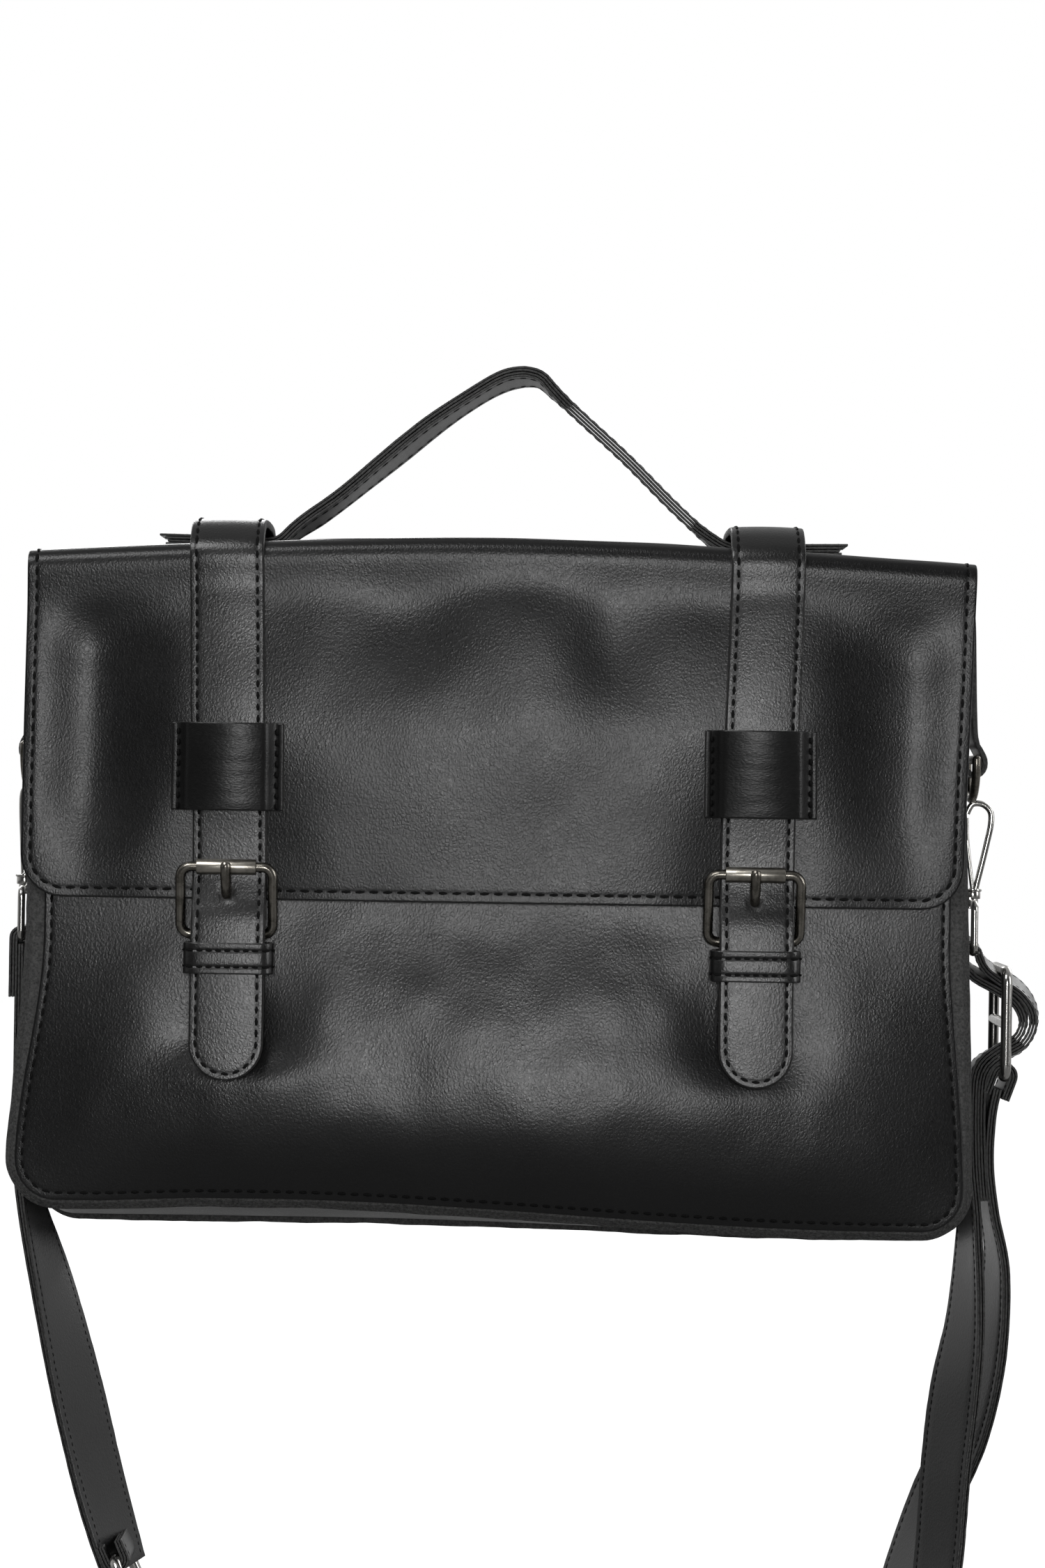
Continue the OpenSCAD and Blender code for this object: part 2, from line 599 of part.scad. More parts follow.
module swivel_eye(s) {
    color("#c4c0b8") translate([s * chain_x, 0, 0]) difference() {
        union() {
            translate([0, 0, (eye_top_z + eye_low_z) / 2]) rotate([0, 0, 90])
                wire_frame(eye_w, eye_h, 3, eye_wire / 2, eye_wire / 2, eye_wire / 2);
            translate([0, 0, eye_top_z - boss_h / 2]) cylinder(r = barrel_r, h = boss_h);
        }
        translate([0, 0, eye_top_z - boss_h]) cylinder(r = post_r + run_fit, h = 2 * boss_h);
    }
}
module swivel_eye_left() bag_place() swivel_eye(-1);
module swivel_eye_right() bag_place() swivel_eye(1);

// ---- shoulder sling ----

// loop of the strap round a bar that runs along Y
turn_w = sling_w - 0.6;                                 // just inside the strap's edges
module bar_loop(x, z, bar_r, length, lean) {
    r0 = bar_r + slack / 2;
    r1 = r0 + sling_t;
    translate([x, 0, z]) rotate([0, lean, 0]) difference() {
        union() {
            rod_y(-turn_w / 2, turn_w / 2, 0, 0, r1);
            translate([-r1 + 0.1, -turn_w / 2, -length]) cube([2 * r1 - 0.2, turn_w, length]);
        }
        rod_y(-sling_w, sling_w, 0, 0, r0);
        translate([-r0, -sling_w, -length + 6]) cube([2 * r0, 2 * sling_w, length - 6]);
    }
}
// loop round the end bar of the lower slide, up for its upper bar
module lower_loop(up, lean) {
    bar_loop(slide_lower_at[0] - up * slide_pitch * sin(slide_lower_lean),
        slide_lower_at[2] + up * slide_pitch * cos(slide_lower_lean), slide_wire / 2, 12, lean);
}
module sling_left() bag_place() {
    color("#1c1c1d") {
        bar_loop(-chain_x, eye_low_z, eye_wire / 2, 24, 0);
        strip(left_route, sling_w, sling_t);
        lower_loop(1, 180 - slide_lower_lean);
    }
}
module sling_right() bag_place() {
    color("#1c1c1d") {
        strip(right_route, sling_w, sling_t);
        strip(under_route, sling_w, sling_t);
        bar_loop(chain_x, eye_low_z, eye_wire / 2, 8, -45);
        bar_loop(slide_upper_at[0], slide_upper_at[2], slide_wire / 2, 12, 146);
        lower_loop(-1, -slide_lower_lean);
    }
}
module sling_return() bag_place() {
    color("#1c1c1d") {
        strip(return_route, sling_w, sling_t);
        bar_loop(slide_upper_at[0], slide_upper_at[2] - slide_pitch, slide_wire / 2, 9, 20);
    }
}

module slide(at_point, lean) {
    color("#c4c0b8") translate(at_point) rotate([0, lean, 0]) rotate([0, 0, 90]) {
        wire_frame(sling_w + 4 + slide_wire, slide_h - slide_wire, 5, slide_wire / 2, slide_wire / 2,
            slide_wire / 2);
        rod_x(-sling_w / 2 - 2 - slide_wire / 2, sling_w / 2 + 2 + slide_wire / 2, 0, 0, slide_wire / 2);
    }
}
module slide_upper() bag_place() slide(slide_upper_at, 0);
module slide_lower() bag_place() slide(slide_lower_at, -slide_lower_lean);

front_panel();
back_panel();
side_gusset();
front_seam_welt();
back_seam_welt();
lining();
base_board();
side_tab_left();
side_tab_right();
magnet_socket_left();
magnet_socket_right();
flap_top();
front_strap_top_left();
front_strap_top_right();
handle_end_left();
handle_end_right();
flap_front();
front_strap_left();
front_strap_right();
strap_loop_left();
strap_loop_right();
buckle_frame_left();
buckle_frame_right();
buckle_chape_left();
buckle_chape_right();
keeper_left();
keeper_right();
magnet_stud_left();
magnet_stud_right();
handle_grip();
buckle_roller_left();
buckle_roller_right();
buckle_prong_left();
buckle_prong_right();
d_ring_left();
d_ring_right();
sling_left();
sling_right();
sling_return();
swivel_eye_left();
swivel_eye_right();
slide_upper();
slide_lower();
snap_hook_left();
snap_hook_right();
hook_gate_left();
hook_gate_right();
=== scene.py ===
import math
import random

import bmesh
import bpy
from mathutils import Matrix, Vector, noise


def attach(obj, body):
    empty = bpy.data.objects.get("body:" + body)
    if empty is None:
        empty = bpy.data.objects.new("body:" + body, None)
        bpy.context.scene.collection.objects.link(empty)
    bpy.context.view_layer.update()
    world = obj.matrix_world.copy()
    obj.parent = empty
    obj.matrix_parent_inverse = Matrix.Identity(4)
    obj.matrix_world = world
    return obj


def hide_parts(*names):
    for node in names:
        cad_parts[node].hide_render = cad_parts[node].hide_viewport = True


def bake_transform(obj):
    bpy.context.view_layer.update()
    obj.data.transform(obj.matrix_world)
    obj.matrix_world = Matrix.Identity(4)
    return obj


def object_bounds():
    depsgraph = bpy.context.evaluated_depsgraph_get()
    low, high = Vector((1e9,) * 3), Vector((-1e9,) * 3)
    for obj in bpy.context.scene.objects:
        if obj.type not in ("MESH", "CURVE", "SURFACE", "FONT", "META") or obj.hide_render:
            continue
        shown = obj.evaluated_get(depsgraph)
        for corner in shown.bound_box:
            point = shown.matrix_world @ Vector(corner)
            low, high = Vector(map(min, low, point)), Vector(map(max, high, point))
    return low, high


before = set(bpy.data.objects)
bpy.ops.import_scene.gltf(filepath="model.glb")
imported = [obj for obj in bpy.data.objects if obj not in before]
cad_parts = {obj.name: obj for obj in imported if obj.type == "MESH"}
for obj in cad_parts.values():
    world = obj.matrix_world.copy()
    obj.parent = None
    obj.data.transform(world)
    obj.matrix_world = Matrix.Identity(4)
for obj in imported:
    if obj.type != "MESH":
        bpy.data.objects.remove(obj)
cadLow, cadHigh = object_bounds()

scene = bpy.context.scene
scene.view_settings.view_transform = "Standard"
bag = {"hang": 7.5}  # the bag's middle is 7.5 mm left of the hook
# every piece is drawn in millimetres from the bag's own middle, front towards -Y, and then placed
toFrame = Matrix.Scale(0.001, 4) @ Matrix.Translation((-bag["hang"], 0, 0))
pieceCount = 0


def smoothStep(low, high, value):
    t = min(1.0, max(0.0, (value - low) / (high - low)))
    return t * t * (3 - 2 * t)


def bump(value, middle, spread):
    return math.exp(-((value - middle) / spread) ** 2)


def mix(a, b, t):
    return a + (b - a) * t


def wobble(x, y, z, size, seed=0.0):
    return noise.noise(Vector((x / size + seed, y / size - seed, z / size)))


# shader nodes
def plug(tree, into, value):
    # links an output, or a node's first one, and sets anything else as a plain value
    if isinstance(value, bpy.types.Node):
        value = value.outputs[0]
    if isinstance(value, bpy.types.NodeSocket):
        tree.links.new(value, into)
    else:
        into.default_value = value


def node(tree, kind, *feeds, **values):
    # feeds go into the first inputs in order, values into the properties or inputs that they name
    made = tree.nodes.new("ShaderNode" + kind)
    for name, value in values.items():
        if hasattr(made, name):
            setattr(made, name, value)
        else:
            plug(tree, made.inputs[name], value)
    for into, value in zip(made.inputs, feeds):
        plug(tree, into, value)
    return made


def freshMaterial(name):
    paint = bpy.data.materials.new(name)
    paint.use_nodes = True
    return paint, paint.node_tree, node(paint.node_tree, "TexCoord").outputs["Object"]


def dress(tree, values):
    # fills in the named inputs of a material's surface
    for name, value in values.items():
        plug(tree, tree.nodes["Principled BSDF"].inputs[name], value)


# camera and studio
view = {"place": (0.00158, -1.446, -0.1642), "roll": 0.9, "lens": 81.29, "filmHeight": 36}
lamps = {
    "key": {"place": (-0.9, -1.5, 1.6), "aim": (0, 0, -0.2), "size": (1.3, 1.0), "power": 24},
    "front": {"place": (0.06, -2.7, 0.0), "aim": (0, 0, -0.2), "size": (0.6, 0.56), "power": 13.5},
    "side": {"place": (1.9, -0.7, 0.3), "aim": (0, 0, -0.2), "size": (0.5, 1.2), "power": 9},
    "rear": {"place": (-0.9, 1.9, 0.9), "aim": (0, 0, -0.25), "size": (1.6, 1.2), "power": 30},
    "back": {"place": (1.5, 1.7, 0.8), "aim": (0, 0, -0.25), "size": (1.1, 0.9), "power": 16},
}
# ramps run along Y: where each starts and ends, and the brightness there
room = {"ramp": (-0.8, 0.5, 0.03, 0.45)}
ground = {"half": 6, "drop": 0.035, "grey": 0.14, "rough": 0.7, "white": 0.96, "ramp": (0.6, 1.4, 0.0, 0.32)}
white = (1, 1, 1, 1)


def makeCamera():
    data = bpy.data.cameras.new("camera")
    data.sensor_fit = "VERTICAL"
    data.sensor_height = view["filmHeight"]
    data.lens = view["lens"]
    data.clip_start, data.clip_end = 0.05, 60
    camera = bpy.data.objects.new("camera", data)
    scene.collection.objects.link(camera)
    turn = Matrix.Rotation(math.radians(90), 4, "X") @ Matrix.Rotation(math.radians(view["roll"]), 4, "Z")
    camera.matrix_world = Matrix.Translation(view["place"]) @ turn
    scene.camera = camera


def makeLamp(name, spec):
    data = bpy.data.lights.new(name, "AREA")
    data.shape = "RECTANGLE"
    data.size, data.size_y = spec["size"]
    data.energy = spec["power"]
    lamp = bpy.data.objects.new(name, data)
    scene.collection.objects.link(lamp)
    aim = Vector(spec["aim"]) - Vector(spec["place"])
    lamp.matrix_world = Matrix.Translation(spec["place"]) @ aim.to_track_quat("-Z", "Y").to_matrix().to_4x4()


def makeRoom():
    # dim on the side the bag faces and bright behind and above it, but plain white to the camera
    scene.world = bpy.data.worlds.new("studio")
    scene.world.use_nodes = True
    tree = scene.world.node_tree
    fill = tree.nodes["Background"]
    way = node(tree, "SeparateXYZ", node(tree, "TexCoord").outputs["Generated"])
    plug(tree, fill.inputs["Color"], white)
    plug(tree, fill.inputs["Strength"], node(tree, "MapRange", way.outputs["Y"], *room["ramp"]))
    rays = node(tree, "LightPath").outputs
    seen = node(tree, "Math", rays["Is Camera Ray"], rays["Is Transmission Ray"], operation="MAXIMUM")
    blend = node(tree, "MixShader", seen, fill, node(tree, "Background", white, 1.0))
    plug(tree, tree.nodes["World Output"].inputs["Surface"], blend)


def makeFloor():
    # pale floor a little below the sling: it looks white, and still takes the object's shadow
    shape = bmesh.new()
    bmesh.ops.create_grid(shape, x_segments=8, y_segments=8, size=ground["half"])
    bmesh.ops.translate(shape, verts=shape.verts, vec=(0, 0, cadLow.z - ground["drop"]))
    mesh = bpy.data.meshes.new("floor")
    shape.to_mesh(mesh)
    shape.free()
    floor = bpy.data.objects.new("floor", mesh)
    scene.collection.objects.link(floor)
    paint, tree, place = freshMaterial("paleFloor")
    rays = node(tree, "LightPath").outputs
    seen = node(tree, "Math", rays["Is Camera Ray"], ground["white"], operation="MULTIPLY")
    # shiny surfaces see it pale behind the bag, as the wall would be
    behind = node(tree, "MapRange", node(tree, "SeparateXYZ", place).outputs["Y"], *ground["ramp"])
    glow = node(tree, "Math", behind, rays["Is Glossy Ray"], seen, operation="MULTIPLY_ADD")
    dress(tree, {"Base Color": (*[ground["grey"]] * 3, 1), "Roughness": ground["rough"],
                 "Emission Color": white, "Emission Strength": glow})
    mesh.materials.append(paint)


makeCamera()
makeRoom()
for name, spec in lamps.items():
    makeLamp(name, spec)
makeFloor()
print("camera, lamps and floor are set")


# finishes: relief is the strength and the depth in metres of the bump
# groove is the colour of the painted shade laid into the sewn grooves and the prong's slot
anyLeather = {"tint": (0.0042, 0.0042, 0.0044), "rough": 0.31, "grain": 1000, "stretch": (0.95, 0.95, 0.8),
              "relief": (0.5, 0.00014), "groove": (0.0015, 0.0015, 0.0015)}
paler = (0.0046, 0.0046, 0.0046)
leatherLooks = {
    "flapLeather": {"grain": 980, "stretch": (1.0, 1.0, 0.8), "gloss": 0.5},
    "bodyLeather": {"grain": 960, "gloss": 0.58},
    "strapLeather": {"tint": paler, "gloss": 0.75},
    "bandLeather": {"tint": (0.0042, 0.0042, 0.0042), "rough": 0.34, "grain": 1200,
                    "stretch": (0.42, 1.0, 1.0), "relief": (0.45, 0.00014), "gloss": 0.45},
    "slingLeather": {"tint": paler, "stretch": (1.0, 1.0, 0.7), "relief": (0.35, 0.00014), "gloss": 1.0},
}
cutLook = {"dark": (0.016, 0.016, 0.016), "tint": (0.085, 0.085, 0.083), "ramp": (0.35, 0.7), "fibre": 900,
           "detail": 3.0, "rough": 0.62, "relief": (0.5, 0.0003)}
threadLook = {"dark": (0.0015, 0.0015, 0.0015), "tint": (0.005, 0.005, 0.005), "twist": 900, "rough": 0.8,
              "gloss": 0.2, "relief": (0.4, 0.0001)}
clothLook = {"tint": (0.035, 0.032, 0.03), "thread": 1400, "rough": 0.85, "relief": (0.5, 0.0002)}
boardLook = {"dark": (0.16, 0.13, 0.10), "tint": (0.34, 0.29, 0.22), "fibre": 420, "detail": 5.0,
             "rough": 0.9, "relief": (0.3, 0.0002)}
anyMetal = {"ramp": (0.36, 0.58), "stains": 190, "scratches": 1500, "relief": (0.12, 0.0001)}
metalLooks = {
    "agedNickel": {"tint": (0.32, 0.30, 0.265), "rough": 0.24, "dark": (0.15, 0.14, 0.12)},
    "wornNickel": {"tint": (0.56, 0.53, 0.47), "rough": 0.27, "dark": (0.34, 0.32, 0.28)},
    "brightNickel": {"tint": (0.70, 0.69, 0.66), "rough": 0.16, "dark": (0.58, 0.57, 0.55)},
}


def twoShades(tree, height, look):
    # the dark colour where the height is low and the tint where it is high
    shade = node(tree, "ValToRGB", height)
    stops = zip(shade.color_ramp.elements, look.get("ramp", (0.0, 1.0)), (look["dark"], look["tint"]))
    for stop, spot, color in stops:
        stop.position, stop.color = spot, (*color, 1)
    return shade


def raised(tree, height, look):
    return node(tree, "Bump", Strength=look["relief"][0], Distance=look["relief"][1], Height=height)


def leatherFinish(name, look):
    look = {**anyLeather, **look}
    paint, tree, place = freshMaterial(name)
    stretched = node(tree, "Mapping", Vector=place, Scale=look["stretch"]).outputs[0]
    wrinkles = node(tree, "TexNoise", Vector=stretched, Scale=look["grain"], Detail=2.5, Roughness=0.55,
                    Distortion=0.5)
    pebbles = node(tree, "TexVoronoi", Vector=stretched, Scale=look["grain"] * 0.8,
                   feature="DISTANCE_TO_EDGE")
    broad = node(tree, "TexNoise", Vector=place, Scale=26, Detail=3.0, Roughness=0.6)
    valleys = node(tree, "MapRange", pebbles.outputs["Distance"], 0.0, 0.28)
    height = node(tree, "Math", valleys, 0.35, wrinkles, operation="MULTIPLY_ADD")
    # the sewn grooves and folds are duller, and painted darker than the faces as painted shade; broad patches
    # of the tone are a little paler at random, as on handled leather
    groove = node(tree, "Attribute", attribute_name="seam").outputs["Fac"]
    worn = node(tree, "MixRGB", broad, (*look["tint"], 1), (*(c * 1.7 for c in look["tint"]), 1))
    dark = node(tree, "MixRGB", groove, worn, (*look["groove"], 1))
    shine = node(tree, "MapRange", broad, 0.0, 1.0, look["rough"] + 0.02, look["rough"] + 0.14)
    fleck = node(tree, "Math", wrinkles, -0.16, shine, operation="MULTIPLY_ADD")
    dull = node(tree, "Math", groove, 0.35, fleck, operation="MULTIPLY_ADD")
    dress(tree, {"Base Color": dark, "Roughness": dull, "Normal": raised(tree, height, look),
                 "Specular IOR Level": look["gloss"]})
    return paint


def fibreFinish(name, look):
    # raw plies and pressed board: two shades of fine fibre
    paint, tree, place = freshMaterial(name)
    fibre = node(tree, "TexNoise", Vector=place, Scale=look["fibre"], Detail=look["detail"], Roughness=0.7)
    dress(tree, {"Base Color": twoShades(tree, fibre, look), "Roughness": look["rough"],
                 "Normal": raised(tree, fibre, look)})
    return paint


def threadFinish(look):
    paint, tree, place = freshMaterial("blackThread")
    twist = node(tree, "TexWave", Vector=place, Scale=look["twist"], Distortion=1.5,
                 bands_direction="DIAGONAL").outputs["Fac"]
    dress(tree, {"Base Color": twoShades(tree, twist, look), "Roughness": look["rough"],
                 "Normal": raised(tree, twist, look), "Specular IOR Level": look["gloss"]})
    return paint


def clothFinish(look):
    paint, tree, place = freshMaterial("liningCloth")
    yarns = [node(tree, "TexWave", Vector=place, Scale=look["thread"] / 6.283, Distortion=0.3,
                  bands_direction=way).outputs["Fac"] for way in ("X", "Z")]
    weave = node(tree, "Math", *yarns, operation="MULTIPLY")
    shade = node(tree, "MixRGB", weave, (*(c * 0.55 for c in look["tint"]), 1), (*look["tint"], 1))
    dress(tree, {"Base Color": shade, "Roughness": look["rough"], "Normal": raised(tree, weave, look)})
    return paint


def metalFinish(name, look):
    look = {**anyMetal, **look}
    paint, tree, place = freshMaterial(name)
    stains = node(tree, "TexNoise", Vector=place, Scale=look["stains"], Detail=4.0, Roughness=0.65)
    scratches = node(tree, "TexNoise", Vector=place, Scale=look["scratches"], Detail=2.0)
    worn = node(tree, "MapRange", stains, 0.0, 1.0, look["rough"] + 0.1, look["rough"] - 0.04)
    dress(tree, {"Metallic": 1.0, "Base Color": twoShades(tree, stains, look), "Roughness": worn,
                 "Normal": raised(tree, scratches, look)})
    return paint


leather = {name: leatherFinish(name, look) for name, look in leatherLooks.items()}
metal = {name: metalFinish(name, look) for name, look in metalLooks.items()}
cutEdge, greyBoard = fibreFinish("cutEdge", cutLook), fibreFinish("greyBoard", boardLook)
lining, blackThread = clothFinish(clothLook), threadFinish(threadLook)
print("finishes are mixed")


# shapes
def makePiece(name, shape, body, finishes, stands=(), bend=None):
    global pieceCount
    bmesh.ops.transform(shape, matrix=toFrame, verts=shape.verts)
    mesh = bpy.data.meshes.new(name)
    shape.to_mesh(mesh)
    shape.free()
    for finish in finishes:
        mesh.materials.append(finish)
    mesh.polygons.foreach_set("use_smooth", [True] * len(mesh.polygons))
    mesh.set_sharp_from_angle(angle=math.radians(40))
    piece = bpy.data.objects.new(name, mesh)
    scene.collection.objects.link(piece)
    if bend:
        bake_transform(piece)
    else:
        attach(piece, body)
    if stands:
        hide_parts(*stands)
    pieceCount += 1


def makeSewn(names, spec, shape, marks, lines, place, stands, bend=None):
    # a flat sheet gets its thickness and grooves and is laid in place, and then its thread along flat lines
    thicken(shape, spec["thick"], spec["rounding"])
    finishes = [leather[spec["finish"]], cutEdge]
    if "lined" in spec:
        finishes.append(lining)
        for face in shape.faces:
            if face.normal.z < -0.5:
                face.material_index = 2
    press(shape, spec["thick"], marks, spec["dip"])
    lay(shape, place)
    makePiece(names[0], shape, spec["body"], finishes, stands, bend)
    if lines:
        thread = bmesh.new()
        for line in lines:
            sew(thread, line, *spec["stitch"])
        lay(thread, place)
        makePiece(names[1], thread, spec["body"], [blackThread], [], bend)


def evenly(low, high, step):
    count = max(1, round((high - low) / step))
    return [low + (high - low) * i / count for i in range(count + 1)]


def mirrored(outer, half):
    # stations across a strip, close together near its edges: insets from the edge, then the middle
    side = [-half + inset for inset in outer]
    return side + [0.0] + [-x for x in reversed(side)]


def gridSheet(xs, ys):
    shape = bmesh.new()
    bmesh.ops.create_grid(shape, x_segments=len(xs) - 1, y_segments=len(ys) - 1, size=1)
    shape.verts.ensure_lookup_table()
    for i, corner in enumerate(shape.verts):
        corner.co = (xs[i % len(xs)], ys[i // len(xs)], 0)
    return shape


def roundedSheet(half, length, radius, insets, columns, rowStep):
    # flat sheet with round far corners: a grid inside, then rows that follow the outline
    inner = insets[0]
    small = radius - inner
    turn = length - radius
    rows = evenly(0, turn, rowStep)
    widths = [half - inner] * len(rows)
    for k in range(1, 9):
        a = math.radians(90 * k / 8)
        rows.append(turn + small * math.sin(a))
        widths.append(half - radius + small * math.cos(a))
    shape = gridSheet([2 * i / columns - 1 for i in range(columns + 1)], rows)
    for i, corner in enumerate(shape.verts):
        corner.co.x *= widths[i // (columns + 1)]
    border = [e for e in shape.edges if e.is_boundary and not all(v.co.y == 0 for v in e.verts)]
    for before, after in zip(insets, insets[1:]):
        made = bmesh.ops.extrude_edge_only(shape, edges=border)
        fresh = {g for g in made["geom"] if isinstance(g, bmesh.types.BMVert)}
        for corner in fresh:
            x, y = corner.co.x, corner.co.y
            side = Vector((math.copysign(1, x), 0, 0))
            if y > turn:
                overX = abs(x) - (half - radius)
                side = Vector((math.copysign(max(0, overX), x), y - turn if overX > 0 else 1, 0)).normalized()
            corner.co += side * (before - after)
        border = [e for e in shape.edges if e.is_boundary and e.verts[0] in fresh and e.verts[1] in fresh]
    return shape


def edgeGap(half, length, radius, x, y):
    # how far a flat point lies inside the outline of a rounded sheet
    overX, overY = abs(x) - (half - radius), y - (length - radius)
    if overX > 0 and overY > 0:
        return radius - math.hypot(overX, overY)
    return min(half - abs(x), length - y)


def outlineRun(half, length, radius, gap, start=0.0):
    # line at one gap inside that outline, from the upper left round to the upper right
    r = max(0.2, radius - gap)
    middle = half - gap - r
    arc = [(middle + r * math.cos(a), length - gap - r + r * math.sin(a))
           for a in (math.radians(9 * k) for k in range(11))]
    right = [(half - gap, start)] + arc
    return [(-x, y) for x, y in right] + list(reversed(right))


def alongRails(rail, low, high):
    # two flat lines, at one distance on either side of the middle
    return [[(x, low), (x, high)] for x in (-rail, rail)]


def thicken(shape, thick, rounding):
    # the drawn face stays on top; the cut rim takes the second finish
    made = bmesh.ops.extrude_face_region(shape, geom=shape.faces[:])
    lower = [g for g in made["geom"] if isinstance(g, bmesh.types.BMVert)]
    bmesh.ops.translate(shape, verts=lower, vec=(0, 0, -thick))
    bmesh.ops.recalc_face_normals(shape, faces=shape.faces)
    for face in shape.faces:
        face.material_index = 1 if abs(face.normal.z) < 0.5 else 0
    rim = [e for e in shape.edges if len(e.link_faces) == 2 and e.calc_face_angle(0) > 1.0]
    bmesh.ops.bevel(shape, geom=rim, offset=rounding, segments=2, profile=0.5, affect="EDGES",
                    material=-1, clamp_overlap=True)


def press(shape, thick, strength, dip):
    # strength(x, y) is 1 in the middle of a sewn groove: it sinks there and is marked for the finish, which
    # paints a shade into it
    shadeMark = shape.verts.layers.float.new("seam")
    for corner in shape.verts:
        value = strength(corner.co.x, corner.co.y)
        corner[shadeMark] = value
        if corner.co.z > -thick * 0.5:
            corner.co.z -= dip * value


def lay(shape, place):
    for corner in shape.verts:
        corner.co = place(corner.co.x, corner.co.y, corner.co.z)


def layPlies(spec, route, spans, step):
    # leather plies one above another along a route; the sewn ones have a rail, its dip and the thread's lift
    shape, thread = bmesh.new(), bmesh.new()
    ruffle, size = spec["fray"]
    for j, (low, high) in enumerate(spans):
        rail, dip, lift = spec["sewn"].get(j, (0, 0, 0))
        ply = gridSheet(mirrored(spec["insets"], spec["half"] + spec["trim"][j]), evenly(low, high, step))
        thicken(ply, spec["ply"], spec["rounding"])
        # the rail's groove is sunk and marked for its painted shade
        press(ply, spec["ply"], lambda x, y: bump(abs(x), rail, spec["groove"]) if rail else 0.0, dip)
        level = (j - (len(spans) - 1) / 2) * spec["step"] + spec["ply"] / 2

        def place(x, y, h):
            ragged = ruffle * wobble(y, j * 9, 0, size) * (1 if x > 0 else -1) * smoothStep(8, 12, abs(x))
            return onRoute(route, y, x + ragged, h + level)
        lay(ply, place)
        merge(shape, ply)
        if rail:
            run = bmesh.new()
            for line in alongRails(rail, low + spec["starts"], high - spec["stops"]):
                sew(run, line, *spec["stitch"], lift)
            lay(run, place)
            merge(thread, run)
    return shape, thread


def sew(thread, line, pitch, length, radius, lift):
    # one thread bead for each stitch along a flat line of points, added in short runs
    walked, target = 0.0, pitch / 2
    run, sewn = bmesh.new(), 0
    for (ax, ay), (bx, by) in zip(line, line[1:]):
        span = math.hypot(bx - ax, by - ay)
        while span > 0 and target <= walked + span:
            t = (target - walked) / span
            place = Matrix.Translation((mix(ax, bx, t), mix(ay, by, t), lift))
            turn = Matrix.Rotation(math.atan2(by - ay, bx - ax) + random.uniform(-0.06, 0.06), 4, "Z")
            size = Matrix.Diagonal((length / 2 * random.uniform(0.92, 1.06), radius, radius * 0.8, 1))
            bmesh.ops.create_uvsphere(run, u_segments=6, v_segments=4, radius=1, matrix=place @ turn @ size)
            target += pitch
            sewn += 1
            if sewn % 25 == 0:
                merge(thread, run)
                run = bmesh.new()
        walked += span
    merge(thread, run)


def smoothLine(points, step):
    # smooth curve through given points, resampled at about one point per step
    def at(i):
        return Vector(points[max(0, min(len(points) - 1, i))])
    line = []
    for i in range(len(points) - 1):
        p, a, b, q = at(i - 1), at(i), at(i + 1), at(i + 2)
        count = max(1, round((b - a).length / step))
        for k in range(count):
            s = k / count
            line.append(0.5 * (2 * a + (b - p) * s + (2 * p - 5 * a + 4 * b - q) * s * s
                               + (3 * a - p - 3 * b + q) * s * s * s))
    line.append(at(len(points)))
    return line


def routeAlong(spots, across, turns=()):
    # a strip's run: its width lies along the given across, or else is turned out of Y at each spot
    route = {"at": spots, "across": [], "up": [], "far": [0.0]}
    for i, spot in enumerate(spots):
        ahead = (spots[min(i + 1, len(spots) - 1)] - spots[max(i - 1, 0)]).normalized()
        if across is None:
            turn = math.radians(turns[i])
            side = ahead.cross(Vector((0, 1, 0))).normalized()
            width = Vector((0, 1, 0)) * math.cos(turn) + side * math.sin(turn)
            width = (width - ahead * width.dot(ahead)).normalized()
            up = width.cross(ahead).normalized()
        else:
            width = Vector(across)
            up = ahead.cross(width).normalized()
        route["across"].append(width)
        route["up"].append(up)
        if i:
            route["far"].append(route["far"][-1] + (spot - spots[i - 1]).length)
    route["length"] = route["far"][-1]
    return route


def makeRoute(points, across, step):
    # a smooth run through x, y, z points, each with a turn where no across is given
    line = smoothLine(points, step)
    return routeAlong([Vector(p[:3]) for p in line], across, [p[-1] for p in line])


def onRoute(route, s, t, h):
    far = route["far"]
    low, high = 0, len(far) - 1
    while high - low > 1:
        middle = (low + high) // 2
        low, high = (middle, high) if far[middle] <= s else (low, middle)
    f = (s - far[low]) / (far[high] - far[low])
    spot = route["at"][low].lerp(route["at"][high], f)
    across = route["across"][low].lerp(route["across"][high], f)
    up = route["up"][low].lerp(route["up"][high], f)
    return spot + across * t + up * h


def wireRun(points, radius, closed, sides):
    # round wire along points: a circle carried along the line
    spots = [Vector(p) for p in points]
    count = len(spots)
    shape = bmesh.new()
    rings = []
    normal = None
    for i, spot in enumerate(spots):
        before = spots[(i - 1) % count] if closed or i else spot
        after = spots[(i + 1) % count] if closed or i < count - 1 else spot
        ahead = (after - before).normalized()
        if normal is None:
            normal = ahead.orthogonal().normalized()
        normal = (normal - ahead * normal.dot(ahead)).normalized()
        turn = Matrix((normal, ahead.cross(normal), ahead)).transposed().to_4x4()
        thick = radius(i / max(1, count - 1)) if callable(radius) else radius
        ring = bmesh.ops.create_circle(shape, segments=sides, radius=thick, cap_ends=False,
                                       matrix=Matrix.Translation(spot) @ turn)["verts"]
        rings.append([e for e in {e for v in ring for e in v.link_edges}])
    pairs = list(zip(rings, rings[1:])) + ([(rings[-1], rings[0])] if closed else [])
    for one, other in pairs:
        bmesh.ops.bridge_loops(shape, edges=one + other)
    if not closed:
        bmesh.ops.holes_fill(shape, edges=[e for e in shape.edges if e.is_boundary], sides=0)
    bmesh.ops.recalc_face_normals(shape, faces=shape.faces)
    return shape


def merge(target, addition):
    # adds one drawn shape to another
    mesh = bpy.data.meshes.new("spare")
    addition.to_mesh(mesh)
    addition.free()
    target.from_mesh(mesh)
    bpy.data.meshes.remove(mesh)


